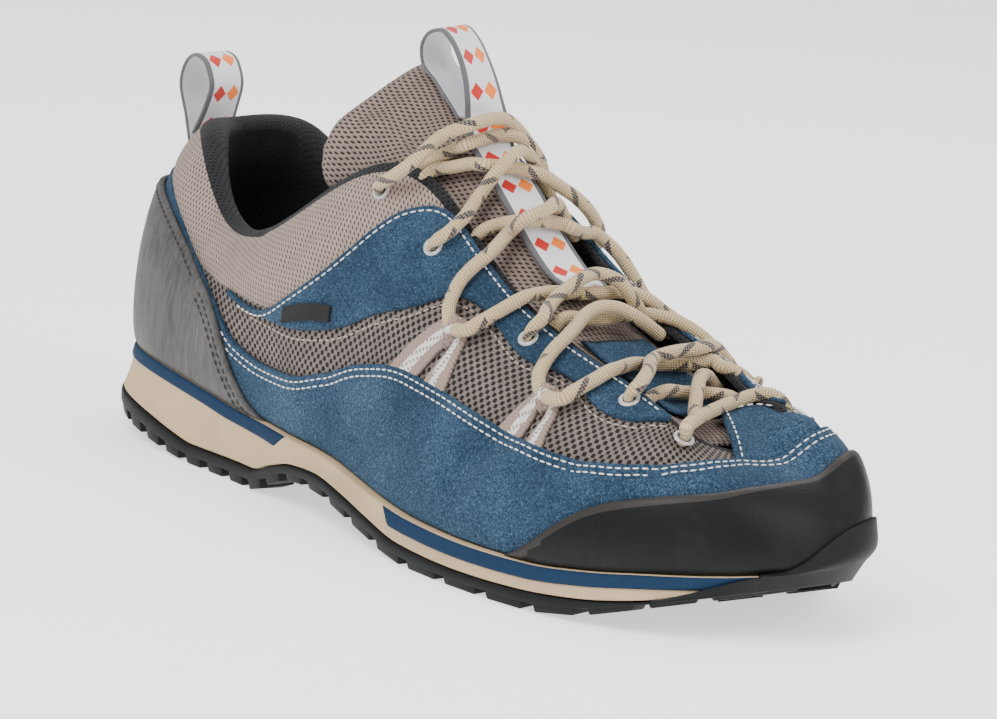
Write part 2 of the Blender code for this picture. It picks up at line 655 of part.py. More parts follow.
# The rubber rises over the toe: its wall starts in the plate and ends on the rand
def build_bumper(finish, where):
    place, rise = smooth_run(bumper_rows, 1).T
    nets = []
    for out_foot, out_edge in ((rubber_flare - gap, bumper_outer), (side_flare + bumper_gap, bumper_inner)):
        low = np.column_stack([rubber_outline(place, out_foot), np.zeros(len(place))])
        low[:, 2] = 0.5 * (plate_bottom(low[:, 0]) + sole_level(low[:, 0], "foam"))
        out_middle = 0.3 * out_edge + 0.7 * out_foot
        middle = np.column_stack([rubber_outline(place, out_middle), np.zeros(len(place))])
        middle[:, 2] = sole_level(middle[:, 0], "feather")
        half = skin(place, rise * 0.55, out_edge)
        edge = skin(place, rise, out_edge - (0.0006 if out_edge == bumper_outer else 0.0))
        nets.append(np.stack([low, middle, half, edge], 1))
    return shell("toe_bumper", nets[0], nets[1], finish, where)


def build_outsole(finish, where, cutters):
    round_ = even_round(sole_columns_round)
    rings = []
    for out, level in ((rubber_flare - 0.0004, "foam"), (rubber_flare, "plate")):
        plan = rubber_outline(round_, out)
        height = sole_level(plan[:, 0], "foam") if level == "foam" else plate_bottom(plan[:, 0])
        rings.append(np.column_stack([plan, height]))
    outsole = loaf("outsole", rings, finish, where)
    boolean(outsole, build_lugs(finish, cutters), "UNION")
    boolean(outsole, build_bumper(finish, cutters), "UNION")
    return outsole


# Lines across the tongue, from the toe up: points of its top face from edge to edge
def tongue_lines():
    lines = []
    inner = upper_face - wall - tongue_gap
    middle_y = throat_middle * ball_width
    for place, rise, crown, _ in tongue_rows:
        places = np.array([place, place, 1 - place, 1 - place])
        edge, lip, far_lip, far_edge = skin(places, np.array([rise, 1.0, 1.0, rise]), inner)
        shift = (far_lip - lip) / np.linalg.norm(far_lip - lip) * tongue_inset
        lip, far_lip = lip + shift, far_lip - shift
        middle = (lip + far_lip) / 2 + Vector((0, 0, crown * upper_height))
        lines.append(line_across(edge, lip, middle, far_lip, far_edge))
    centre = [(along * shoe_length, sole_level(along * shoe_length, "feather") + rise * upper_height)
              for along, rise, *_ in tip_rows]
    for k, (along, rise, half_width, drop, _) in enumerate(tip_rows):
        before, after = centre[max(k - 1, 0)], centre[min(k + 1, len(centre) - 1)]
        way = np.array(after) - np.array(before)
        way = way / np.linalg.norm(way)
        out = np.array([way[1], 0.0, -way[0]])
        middle = np.array([centre[k][0], middle_y, centre[k][1]])
        sides = []
        for t in (-1.0, -0.75, 0.75, 1.0):
            across = np.array([0.0, t * half_width * ball_width, 0.0])
            sides.append(middle + across - np.abs(out) * t * t * drop * upper_height)
        lines.append(line_across(sides[0], sides[1], middle, sides[2], sides[3]))
    return np.array(lines)


def line_across(edge, lip, middle, far_lip, far_edge):
    crown = np.array(middle) - (lip + far_lip) / 2
    flat = 0.25 if crown[2] > 0 else 0.5
    near = (lip + middle) / 2 + crown * flat
    far = (far_lip + middle) / 2 + crown * flat
    return np.array([edge, lip, near, middle, far, far_lip, far_edge], float)


def net_normals(net):
    along = np.gradient(net, axis=0)
    across = np.gradient(net, axis=1)
    normals = np.cross(along, across)
    normals /= np.linalg.norm(normals, axis=2)[:, :, None]
    return normals * np.sign(normals[:, :, 2].sum())


def tongue_net(between_rows, between_columns):
    lines = smooth_run(tongue_lines(), between_rows)
    return np.array([smooth_run(line, between_columns) for line in lines])


def tongue_pads(between_rows):
    pads = [[row[3]] for row in tongue_rows] + [[row[4]] for row in tip_rows]
    return smooth_run(pads, between_rows)[:, 0] * wall


def build_tongue(finish, where):
    net = tongue_net(0, 1)
    across = np.linspace(-1, 1, net.shape[1])
    thick = tongue_pads(0)[:, None] * (1 - 0.55 * across**6)
    return shell("tongue", net, net - net_normals(net) * thick[:, :, None], finish, where)


def build_tongue_cover(finish, where):
    net = tongue_net(0, 1)[0:5, 3:10]
    normals = net_normals(tongue_net(0, 1))[0:5, 3:10]
    return shell("tongue_cover", net + normals * (gap + suede), net + normals * gap, finish, where)


# The tape's line up the tongue, level with its highest points across the tape's width
def tape_laid():
    net = tongue_net(0, 1)[tape_first_row:len(tongue_rows)]
    middle = net.shape[1] // 2
    normals = net_normals(net)[:, middle]
    laid = net[:, middle].copy()
    for line, point in zip(net, laid):
        sides = point[1] + np.linspace(-0.5, 0.5, 7) * tape_width
        point[2] = np.interp(sides, line[:, 1], line[:, 2]).max()
    doubled = smooth_step(np.linspace(0, 1, len(laid)), 0.6, 0.95) * (tape_thickness + gap)
    return smooth_run(laid + normals * (2 * gap + tape_thickness / 2 + doubled)[:, None], 1)


# The tape's pull loop, up from the tongue's top, round and back
def tape_loop(start):
    up = np.array([-math.cos(tongue_loop_lean), 0.0, math.sin(tongue_loop_lean)])
    out = np.array([math.sin(tongue_loop_lean), 0.0, math.cos(tongue_loop_lean)])
    loop = [start + up * rise * tongue_loop_height + out * side * tongue_loop_depth
            for rise, side in tongue_loop_rows]
    return smooth_run(loop, 1)


def ribbon(name, centre, finish, where):
    sideways = np.array([0.0, 1.0, 0.0])
    normals = np.cross(np.gradient(centre, axis=0), sideways)
    normals /= np.linalg.norm(normals, axis=1)[:, None]
    nets = []
    for side in (0.5, -0.5):
        face = centre + normals * tape_thickness * side
        nets.append(np.stack([face - sideways * tape_width / 2, face + sideways * tape_width / 2], 1))
    return shell(name, nets[0], nets[1], finish, where)


def build_tongue_tape(finish, where):
    laid = tape_laid()
    return ribbon("tongue_tape", np.concatenate([laid, tape_loop(laid[-1])]), finish, where)


def build_heel_loop(finish, where):
    rises = np.array([0.80, 0.86, 0.92, 0.97])
    sewn = skin(np.zeros(4), rises, upper_face + gap + tape_thickness)
    lip = sewn[-1]
    loop = [lip + np.array([side * heel_loop_depth, 0.0, rise * heel_loop_height])
            for rise, side in heel_loop_rows]
    return ribbon("heel_loop", smooth_run(np.concatenate([sewn, loop]), 1), finish, where)


def build_tag(finish, where, cutters):
    edges = np.array(tag_rows).T
    return overlay_piece("side_tag", edges, gap, gap + tag_thickness, finish, where, cutters, 2)


# Where a lace leaves the upper: a point on the skin and the way out there
def lace_point(row, side, out):
    place, rise, _, _ = lace_rows[row]
    place = place if side == "outer" else 1 - place
    return skin(np.array([place]), np.array([rise]), out)[0]


def build_eyelet(name, row, side, finish, where):
    place, rise, _, _ = lace_rows[row]
    place = place if side == "outer" else 1 - place
    base = upper_face if row == len(lace_rows) - 1 else 0.0
    centre = skin(np.array([place]), np.array([rise]), base + 2 * gap)[0]
    normal = Vector(skin_normal(np.array([place]), np.array([rise]))[0])
    turn = normal.to_track_quat("Z", "Y")
    segments = 8
    bm = bmesh.new()
    rings = []
    profile = ((eyelet_hole, 0.0), (eyelet_radius, 0.0), (eyelet_radius - eyelet_round, eyelet_thickness),
               (eyelet_hole + eyelet_round, eyelet_thickness))
    for radius, height in profile:
        ring = []
        for k in range(segments):
            a = math.tau * k / segments
            local = Vector((radius * math.cos(a), radius * math.sin(a), height))
            ring.append(bm.verts.new(Vector(centre) + turn @ local))
        rings.append(ring)
    for k in range(4):
        for i in range(segments):
            j = (i + 1) % segments
            bm.faces.new((rings[k][i], rings[k][j], rings[(k + 1) % 4][j], rings[(k + 1) % 4][i]))
    bmesh.ops.recalc_face_normals(bm, faces=bm.faces[:])
    mesh = bpy.data.meshes.new(name)
    bm.to_mesh(mesh)
    bm.free()
    mesh.shade_smooth()
    mesh.set_sharp_from_angle(angle=math.radians(35))
    return add_object(name, mesh, finish, where)


# A lace strand is a bevelled curve made a mesh, with its two caps closed
def strand(name, points, finish, where):
    curve = bpy.data.curves.new(name, "CURVE")
    curve.dimensions = "3D"
    curve.bevel_depth = lace_width / 2
    curve.bevel_resolution = 1
    curve.use_fill_caps = True
    spline = curve.splines.new("POLY")
    spline.points.add(len(points) - 1)
    for target, point in zip(spline.points, points):
        target.co = (*point, 1.0)
    made = bpy.data.objects.new(name + "_curve", curve)
    where.objects.link(made)
    bpy.context.view_layer.update()
    mesh = bpy.data.meshes.new_from_object(made.evaluated_get(bpy.context.evaluated_depsgraph_get()))
    bpy.data.objects.remove(made)
    bpy.data.curves.remove(curve)
    bm = bmesh.new()
    bm.from_mesh(mesh)
    bmesh.ops.remove_doubles(bm, verts=bm.verts[:], dist=0.00001)
    bmesh.ops.recalc_face_normals(bm, faces=bm.faces[:])
    bm.to_mesh(mesh)
    bm.free()
    mesh.name = name
    mesh.shade_smooth()
    return add_object(name, mesh, finish, where)


# The tops of tongue, tape and flaps as points, which the laces lie on
def lace_ground():
    tongue = tongue_net(6, 5).reshape(-1, 3) + np.array([0.0, 0.0, suede + 2 * gap])
    across = np.linspace(-0.5, 0.5, 17)[None, :, None] * np.array([0.0, tape_width, 0.0])
    strip = smooth_run(tape_laid(), 7)[:, None] + across + np.array([0.0, 0.0, tape_thickness])
    places = np.concatenate([np.linspace(0.24, 0.46, 90), np.linspace(0.54, 0.76, 90)])
    rises = np.linspace(0.60, 1.0, 28)
    flaps = skin(places[:, None], rises[None, :], 0.0)
    raised = skin(places[:, None], rises[None, :], eyelet_thickness + 2 * gap)
    for row, (_, _, eyelet, _) in enumerate(lace_rows):
        for side in ("outer", "inner"):
            near = np.linalg.norm(flaps - lace_point(row, side, 0.0), axis=2) < eyelet_radius + lace_gap
            flaps[near & eyelet] = raised[near & eyelet]
    return np.concatenate([tongue, strip.reshape(-1, 3), flaps.reshape(-1, 3)])


# A taut strand from start to end over the ground, with a few stations that all clear it
def strand_points(start, end, ground, above=0.0, bow=0.0):
    fine = np.linspace(0.0, 1.0, 33)
    line = start + (end - start) * fine[:, None]
    line[:, 0] += bow * np.sin(math.pi * fine)
    needed = line[:, 2].copy()
    radius = lace_width / 2
    for k in range(len(fine)):
        away = np.hypot(ground[:, 0] - line[k, 0], ground[:, 1] - line[k, 1])
        under = away < radius
        if under.any():
            needed[k] = (ground[under, 2] + np.sqrt(radius**2 - away[under]**2)).max() + lace_gap + above
    needed[[0, -1]] = np.maximum(needed[[0, -1]], line[[0, -1], 2])
    taut = needed.copy()
    for before in range(len(fine)):
        for after in range(before + 2, len(fine)):
            span = slice(before + 1, after)
            chord = np.interp(fine[span], [fine[before], fine[after]], [needed[before], needed[after]])
            taut[span] = np.maximum(taut[span], chord)
    kept = [0, len(fine) // 2, len(fine) - 1]
    while len(kept) < lace_stations:
        miss = np.abs(taut - np.interp(fine, fine[kept], taut[kept]))
        miss += np.abs(line[:, 0] - np.interp(fine, fine[kept], line[kept, 0]))
        kept = sorted(kept + [int(miss.argmax())])
    points = line[kept]
    points[:, 2] = taut[kept]
    points[:, 2] += max((needed - np.interp(fine, fine[kept], points[:, 2])).max(), 0.0)
    return points


def build_laces(finish, where, cutters):
    ground = lace_ground()
    out = 3 * gap + eyelet_thickness + lace_width / 2
    top = len(lace_rows) - 1
    over_step = lace_width * 0.5
    for row in range(top):
        low = {}
        high = {}
        for side in ("outer", "inner"):
            low[side] = lace_point(row, side, out) if row else throat_end(row, side)
            high[side] = throat_end(row + 1, side)
        name = "lace_crossing_" + str(row + 1)
        under = strand(name, strand_points(low["inner"], high["outer"], ground), finish, where)
        over = strand_points(low["outer"], high["inner"], ground, over_step)
        over = strand(name + "_over", over, finish, cutters)
        boolean(under, over, "UNION")
    bar = strand_points(lace_point(0, "outer", out), lace_point(0, "inner", out), ground)
    strand("lace_bar", bar, finish, where)
    left, right = lace_point(top, "outer", out), lace_point(top, "inner", out)
    pair = strand("lace_top", strand_points(left, right, ground, 0.0, lace_bow), finish, where)
    shift = np.array([lace_width * 0.75, 0.0, 0.0])
    second = strand_points(left + shift, right + shift, ground, 0.0, lace_bow)
    second = strand("lace_top_over", second, finish, cutters)
    boolean(pair, second, "UNION")


# Where a strand passes under the opposite flap: just inside the throat's edge
def throat_end(row, side):
    place, _, _, dive = lace_rows[row]
    place = place + dive
    place = place if side == "outer" else 1 - place
    edge = skin(np.array([place]), np.array([1.0]), 0.0)[0]
    inward = math.copysign(lace_width * 0.5 + lace_gap + wall, -edge[1])
    return edge + np.array([0.0, inward, lace_width * 0.5 + gap])


# The move that puts the middle of the shoe's box over the origin
def floor_shift(where):
    bpy.context.view_layer.update()
    graph = bpy.context.evaluated_depsgraph_get()
    corners = []
    for made in where.objects:
        evaluated = made.evaluated_get(graph)
        mesh = evaluated.to_mesh()
        corners += [(v.co.x, v.co.y, v.co.z) for v in mesh.vertices]
        evaluated.to_mesh_clear()
    corners = np.array(corners)
    middle = (corners.min(0) + corners.max(0)) / 2
    return Vector((-middle[0], -middle[1], 0.0))


def main():
    for old in list(bpy.data.objects):
        bpy.data.objects.remove(old)
    shoe = bpy.data.collections.new("approach_shoe")
    cutters = bpy.data.collections.new("cutters")
    bpy.context.scene.collection.children.link(shoe)
    bpy.context.scene.collection.children.link(cutters)

    rubber = new_material("black_rubber", (0.018, 0.019, 0.021), 0.60)
    foam = new_material("beige_foam", (0.56, 0.47, 0.37), 0.75)
    blue_band = new_material("blue_foam", (0.005, 0.075, 0.20), 0.60)
    suede_blue = new_material("blue_suede", (0.030, 0.095, 0.200), 0.95)
    knit = new_material("sand_knit", (0.36, 0.28, 0.215), 0.95)
    grey_leather = new_material("grey_leather", (0.085, 0.080, 0.078), 0.55)
    rand_rubber = new_material("rand_rubber", (0.015, 0.015, 0.017), 0.50)
    lining = new_material("insole_foam", (0.020, 0.021, 0.024), 0.95)
    tape_white = new_material("tape_white", (0.70, 0.70, 0.73), 0.80)
    webbing_sand = new_material("webbing_sand", (0.45, 0.37, 0.31), 0.85)
    metal = new_material("painted_metal", (0.55, 0.55, 0.52), 0.40, 0.4)
    lace_sand = new_material("lace_sand", (0.56, 0.47, 0.34), 0.85)
    tag_black = new_material("tag_black", (0.012, 0.012, 0.012), 0.70)

    build_outsole(rubber, shoe, cutters)
    build_midsole(foam, blue_band, shoe, cutters)
    build_insole(lining, shoe)
    build_upper(knit, shoe)
    build_mudguard(suede_blue, shoe, cutters)
    build_counter(grey_leather, shoe, cutters)
    build_rand(rand_rubber, shoe, cutters)
    for side in ("outer", "inner"):
        build_eyestay(side, suede_blue, shoe, cutters)
        build_webbing("webbing_rear_", rear_webbing_rows, side, webbing_sand, shoe, cutters)
        build_webbing("webbing_front_", front_webbing_rows, side, webbing_sand, shoe, cutters)
        number = 0
        for row, (_, _, eyelet, _) in enumerate(lace_rows):
            if eyelet:
                number += 1
                build_eyelet("eyelet_" + side + "_" + str(number), row, side, metal, shoe)
    build_tag(tag_black, shoe, cutters)
    build_tongue(knit, shoe)
    build_tongue_cover(suede_blue, shoe)
    build_tongue_tape(tape_white, shoe)
    build_heel_loop(tape_white, shoe)
    build_laces(lace_sand, shoe, cutters)

    shift = floor_shift(shoe)
    for made in list(shoe.objects) + list(cutters.objects):
        made.location = made.location + shift
    bpy.context.view_layer.update()


main()
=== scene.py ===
import math

import bmesh
import bpy
import numpy as np
from mathutils import Matrix, Vector
from mathutils.kdtree import KDTree


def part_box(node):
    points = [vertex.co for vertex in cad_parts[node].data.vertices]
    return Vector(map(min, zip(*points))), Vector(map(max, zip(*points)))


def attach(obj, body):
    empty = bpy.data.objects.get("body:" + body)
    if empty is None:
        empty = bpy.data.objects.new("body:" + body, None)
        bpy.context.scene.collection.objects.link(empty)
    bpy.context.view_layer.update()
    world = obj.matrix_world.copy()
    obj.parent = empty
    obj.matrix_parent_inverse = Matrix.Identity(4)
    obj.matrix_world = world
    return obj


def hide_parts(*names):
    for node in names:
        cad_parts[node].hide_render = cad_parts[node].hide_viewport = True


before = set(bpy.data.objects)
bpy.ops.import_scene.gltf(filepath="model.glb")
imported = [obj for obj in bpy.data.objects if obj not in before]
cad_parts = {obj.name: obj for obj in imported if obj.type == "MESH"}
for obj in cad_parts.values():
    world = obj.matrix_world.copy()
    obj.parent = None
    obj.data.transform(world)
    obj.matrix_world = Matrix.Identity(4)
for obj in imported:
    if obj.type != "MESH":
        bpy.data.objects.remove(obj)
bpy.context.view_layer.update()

# Approach shoe for the right foot. Its form is worked out in the source's own terms: round is the place
# round the foot (0 heel, 0.25 outer side, 0.5 toe), rise goes from the sole's edge, 0, to the top edge, 1,
# and out is the distance from the suede's face. Everything is in metres.
last = {
    "length": 0.300, "ballWidth": 0.106, "height": 0.100, "soleHeight": 0.028, "gap": 0.0003,
    "wall": 0.0022, "collarPad": 0.0058, "suede": 0.0014, "overlay": 0.0018,
    "sideFlare": 0.0025, "footFlare": 0.0056, "rubberFlare": 0.0062,
}
gap = last["gap"]
upperFace = -last["suede"] - gap
sectionColumns = ("along", "across", "topAlong", "topAcross", "topRise", "flare", "lift", "crown", "drop")
sections = np.array((
    (0.005, 0.000, 0.038, 0.000, 0.680, 0.057, 0.30, 0.113, 0.22),
    (0.052, -0.250, 0.096, -0.190, 0.670, 0.057, 0.28, 0.132, 0.20),
    (0.146, -0.355, 0.184, -0.270, 0.500, 0.047, 0.18, 0.104, 0.14),
    (0.300, -0.360, 0.278, -0.300, 0.540, 0.047, 0.22, 0.113, 0.20),
    (0.387, -0.390, 0.380, -0.245, 0.765, 0.047, 0.30, 0.170, 0.30),
    (0.473, -0.410, 0.480, -0.175, 0.810, 0.047, 0.28, 0.170, 0.24),
    (0.623, -0.467, 0.628, -0.170, 0.610, 0.047, 0.26, 0.170, 0.14),
    (0.790, -0.448, 0.788, -0.155, 0.475, 0.047, 0.20, 0.170, 0.08),
    (0.927, -0.273, 0.860, -0.130, 0.380, 0.047, 0.20, 0.170, 0.06),
    (0.985, 0.044, 0.880, 0.015, 0.315, 0.038, 0.20, 0.180, 0.06),
    (0.942, 0.280, 0.870, 0.160, 0.360, 0.047, 0.20, 0.132, 0.06),
    (0.844, 0.417, 0.770, 0.200, 0.460, 0.047, 0.20, 0.151, 0.08),
    (0.700, 0.455, 0.635, 0.185, 0.590, 0.047, 0.26, 0.170, 0.14),
    (0.540, 0.370, 0.488, 0.188, 0.770, 0.047, 0.28, 0.170, 0.24),
    (0.420, 0.300, 0.395, 0.222, 0.790, 0.047, 0.30, 0.170, 0.30),
    (0.290, 0.300, 0.285, 0.270, 0.570, 0.047, 0.22, 0.113, 0.20),
    (0.147, 0.330, 0.178, 0.275, 0.540, 0.047, 0.18, 0.113, 0.14),
    (0.050, 0.240, 0.094, 0.200, 0.690, 0.057, 0.28, 0.123, 0.20),
))
soleRows = np.array((      # along, tread, foam, feather
    (-0.02, 0.260, 0.510, 0.995), (0.05, 0.215, 0.470, 0.985), (0.10, 0.165, 0.435, 0.975),
    (0.15, 0.090, 0.355, 0.935), (0.19, 0.030, 0.270, 0.885), (0.23, 0.000, 0.210, 0.830),
    (0.28, 0.000, 0.215, 0.755), (0.34, 0.000, 0.225, 0.715), (0.38, 0.160, 0.355, 0.705),
    (0.42, 0.300, 0.460, 0.690), (0.46, 0.305, 0.480, 0.665), (0.52, 0.210, 0.405, 0.585),
    (0.57, 0.120, 0.305, 0.510), (0.63, 0.000, 0.195, 0.455), (0.72, 0.000, 0.165, 0.430),
    (0.80, 0.000, 0.180, 0.445), (0.86, 0.045, 0.225, 0.505), (0.91, 0.140, 0.310, 0.580),
    (0.955, 0.250, 0.440, 0.635), (1.02, 0.500, 0.640, 0.720),
))


# A smooth closed curve through values at even steps of t, from 0 to 1
def closedSpline(values, t):
    count = len(values)
    system = 4.0 * np.eye(count) + np.roll(np.eye(count), 1, 0) + np.roll(np.eye(count), -1, 0)
    slopes = np.linalg.solve(system, 3.0 * (np.roll(values, -1, 0) - np.roll(values, 1, 0)))
    place = (np.asarray(t, float) % 1.0) * count
    low = np.floor(place).astype(int) % count
    f = (place - np.floor(place))[:, None]
    high = (low + 1) % count
    start = (2 * f**3 - 3 * f**2 + 1) * values[low] + (f**3 - 2 * f**2 + f) * slopes[low]
    return start + (-2 * f**3 + 3 * f**2) * values[high] + (f**3 - f**2) * slopes[high]


# A curve through points xs, ys that never overshoots them
def runCurve(xs, ys, x):
    steps = np.diff(xs)
    rates = np.diff(ys) / steps
    slopes = np.zeros(len(xs))
    slopes[0], slopes[-1] = rates[0], rates[-1]
    for k in range(1, len(xs) - 1):
        if rates[k - 1] * rates[k] > 0:
            a = 2 * steps[k] + steps[k - 1]
            b = steps[k] + 2 * steps[k - 1]
            slopes[k] = (a + b) / (a / rates[k - 1] + b / rates[k])
    x = np.clip(x, xs[0], xs[-1])
    low = np.clip(np.searchsorted(xs, x, side="right") - 1, 0, len(xs) - 2)
    f = (x - xs[low]) / steps[low]
    start = (2 * f**3 - 3 * f**2 + 1) * ys[low] + (f**3 - 2 * f**2 + f) * steps[low] * slopes[low]
    return start + (-2 * f**3 + 3 * f**2) * ys[low + 1] + (f**3 - f**2) * steps[low] * slopes[low + 1]


def smoothStep(x, low, high):
    f = np.clip((np.asarray(x, float) - low) / (high - low), 0.0, 1.0)
    return f * f * (3 - 2 * f)


# A smooth run of points through the given ones, with some points added between each two
def smoothRun(points, between):
    points = np.asarray(points, float)
    ends = np.concatenate([[2 * points[0] - points[1]], points, [2 * points[-1] - points[-2]]])
    run = []
    for k in range(1, len(ends) - 2):
        a, b, c, d = ends[k - 1], ends[k], ends[k + 1], ends[k + 2]
        for step in range(between + 1):
            f = step / (between + 1)
            run.append(b + 0.5 * f * (c - a + f * (2 * a - 5 * b + 4 * c - d + f * (3 * (b - c) + d - a))))
    run.append(points[-1])
    return np.array(run)


def alongLength(points):
    return np.append(0.0, np.cumsum(np.linalg.norm(np.diff(points, axis=0), axis=1)))


# The same run with its points at even steps of length
def evenRun(points, count):
    length = alongLength(points[:, :3])
    at = np.linspace(0, length[-1], count)
    return np.stack([np.interp(at, length, points[:, k]) for k in range(points.shape[1])], 1)


def unit(vectors):
    return vectors / np.linalg.norm(vectors, axis=-1)[..., None]


def soleLevel(x, level):
    heights = soleRows[:, ("along", "tread", "foam", "feather").index(level)]
    return runCurve(soleRows[:, 0] * last["length"], heights * last["soleHeight"], x)


def sectionValue(table, name):
    return table[:, sectionColumns.index(name)]


def footLine(round_):
    table = closedSpline(sections, round_)
    change = closedSpline(sections, round_ + 0.0001) - closedSpline(sections, round_ - 0.0001)
    x = sectionValue(table, "along") * last["length"]
    y = sectionValue(table, "across") * last["ballWidth"]
    turnX = sectionValue(change, "along") * last["length"]
    turnY = sectionValue(change, "across") * last["ballWidth"]
    return np.stack([x, y], 1), unit(np.stack([turnY, -turnX], 1)), table


def skinPoint(round_, rise):
    foot, way, table = footLine(round_)
    start = np.column_stack([foot, soleLevel(foot[:, 0], "feather")])
    topX = sectionValue(table, "topAlong") * last["length"]
    topY = sectionValue(table, "topAcross") * last["ballWidth"]
    topZ = soleLevel(topX, "feather") + sectionValue(table, "topRise") * last["height"]
    end = np.column_stack([topX, topY, topZ])
    leave = np.column_stack([way * sectionValue(table, "flare")[:, None] * last["ballWidth"],
                             sectionValue(table, "lift") * last["height"]])
    reach = np.column_stack([way * sectionValue(table, "crown")[:, None] * last["ballWidth"],
                             -sectionValue(table, "drop") * last["height"]])
    v = rise[:, None]
    w = 1 - v
    return w**3 * start + 3 * w**2 * v * (start + leave) + 3 * w * v**2 * (end + reach) + v**3 * end


def skinNormal(round_, rise):
    along = skinPoint(round_ + 0.0005, rise) - skinPoint(round_ - 0.0005, rise)
    up = skinPoint(round_, rise + 0.0005) - skinPoint(round_, rise - 0.0005)
    return unit(np.cross(along, up))


# The loose inner flap stands a little away from the foot
flapFlare = {"reach": 0.0035, "from": 0.575, "full": 0.61, "fade": 0.76, "to": 0.84}
# The inner side of the toe stands higher than the outer
toeRaise = {"reach": 0.0060, "from": 0.512, "full": 0.542, "fade": 0.56, "to": 0.60}
# Soft dents that all layers share, from place and rise to place and rise, with depth and width
creases = (
    (0.352, 0.30, 0.372, 0.66, 0.0011, 0.0045), (0.395, 0.52, 0.412, 0.80, 0.0007, 0.0040),
    (0.262, 0.30, 0.300, 0.20, 0.0007, 0.0060), (0.135, 0.80, 0.160, 0.93, 0.0010, 0.0050),
    (0.205, 0.72, 0.235, 0.86, 0.0008, 0.0045), (0.432, 0.60, 0.447, 0.78, 0.0006, 0.0035),
    (0.600, 0.45, 0.625, 0.75, 0.0009, 0.0045), (0.662, 0.40, 0.690, 0.62, 0.0008, 0.0045),
    (0.842, 0.82, 0.868, 0.92, 0.0010, 0.0050), (0.735, 0.45, 0.765, 0.70, 0.0007, 0.0050),
)
creaseScale = (0.70, 0.075)      # metres for a whole turn round the foot and for the whole rise


def creaseDepth(round_, rise):
    spots = np.stack([round_ % 1.0, rise], -1) * creaseScale
    depth = np.zeros(round_.shape)
    for fromRound, fromRise, toRound, toRise, deep, width in creases:
        start = np.array([fromRound, fromRise]) * creaseScale
        way = np.array([toRound, toRise]) * creaseScale - start
        f = np.clip((spots - start) @ way / (way @ way), 0, 1)
        away = np.linalg.norm(spots - start - f[..., None] * way, axis=-1) / width
        depth += deep * (1 - 0.6 * away**2) * np.exp(-away**2)
    return depth


# Points moved outward from the skin. The foot of every layer stays on the sole's top. Where worn is
# false, the skin is as first cut, without dents and with the inner flap lying on the foot.
def skin(round_, rise, out, worn=True):
    shape = np.broadcast(round_, rise, out).shape
    round_, rise, out = [np.broadcast_to(a, shape).astype(float).ravel() for a in (round_, rise, out)]
    onUpper = np.maximum(rise, 0.0)
    if worn:
        loose = smoothStep(round_ % 1.0, flapFlare["from"], flapFlare["full"])
        loose = loose * (1 - smoothStep(round_ % 1.0, flapFlare["fade"], flapFlare["to"]))
        raised = smoothStep(round_ % 1.0, toeRaise["from"], toeRaise["full"])
        raised = raised * (1 - smoothStep(round_ % 1.0, toeRaise["fade"], toeRaise["to"]))
        out = out + flapFlare["reach"] * loose * smoothStep(rise, 0.55, 1.0) - creaseDepth(round_, rise)
        out = out + toeRaise["reach"] * raised * smoothStep(rise, 0.05, 0.68)
    points = skinPoint(round_, onUpper) + skinNormal(round_, onUpper) * out[:, None]
    points[:, 2] += (1 - onUpper)**4 * (soleLevel(points[:, 0], "feather") - points[:, 2])
    points[:, 2] += np.minimum(rise, 0.0) * last["height"]
    return points.reshape(shape + (3,))


# The rubber and foam draw in under the toe
rocker = {"foam": 0.0045, "plate": 0.0062, "lower": 0.0030, "lug": 0.0095,
          "feather": 0.0030, "lift": 0.0042, "thin": 0.70}


def rockerShare(round_):
    return smoothStep(round_ % 1.0, 0.440, 0.490) * (1 - smoothStep(round_ % 1.0, 0.580, 0.640))


def soleSide(round_, depth, out):
    shape = np.broadcast(round_, depth, out).shape
    round_, depth, out = [np.broadcast_to(a, shape).astype(float).ravel() for a in (round_, depth, out)]
    foot, way, _ = footLine(round_)
    underBumper = smoothStep(round_, 0.440, 0.474) * (1 - smoothStep(round_, 0.612, 0.646))
    flare = last["sideFlare"] + (last["footFlare"] - last["sideFlare"]) * depth * (1 - underBumper)
    flare = flare - rocker["foam"] * depth * rockerShare(round_)
    side = foot + way * flare[:, None]
    plan = side + way * out[:, None]
    top = soleLevel(side[:, 0], "feather") - gap
    low = soleLevel(side[:, 0], "foam") + gap
    return np.column_stack([plan, top + (low - top) * depth]).reshape(shape + (3,))


def rubberOutline(round_, out):
    foot, way, _ = footLine(np.asarray(round_, float))
    return foot + way * out


def treadBottom(x):
    return soleLevel(x, "tread") + rocker["lift"] * smoothStep(x / last["length"], 0.82, 0.98)


def plateBottom(x):
    thinned = 1 - rocker["thin"] * smoothStep(x / last["length"], 0.82, 0.98)
    return treadBottom(x) + 0.45 * (soleLevel(x, "foam") - soleLevel(x, "tread")) * thinned


outlineLow = rubberOutline(np.arange(52) / 52, last["rubberFlare"]).min(0)
shift = Vector((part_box("outsole")[0][0] - outlineLow[0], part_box("outsole")[0][1] - outlineLow[1], 0.0))


# Adds a grid to the bmesh and lays it on a net of points; its map is in metres
def addNet(bm, points, uvs, finishOf=None):
    rows, width = points.shape[:2]
    firstVert, firstFace = len(bm.verts), len(bm.faces)
    bmesh.ops.create_grid(bm, x_segments=width - 1, y_segments=rows - 1, size=0.5)
    bm.verts.ensure_lookup_table()
    bm.faces.ensure_lookup_table()
    bm.verts.index_update()
    layer = bm.loops.layers.uv.verify()
    places, spots = points.reshape(-1, 3).tolist(), uvs.reshape(-1, 2).tolist()
    for vert, place in zip(bm.verts[firstVert:], places):
        vert.co = place
    for face in bm.faces[firstFace:]:
        corners = [loop.vert.index - firstVert for loop in face.loops]
        for loop, corner in zip(face.loops, corners):
            loop[layer].uv = spots[corner]
        if finishOf is not None:
            face.material_index = int(finishOf[divmod(min(corners), width)])


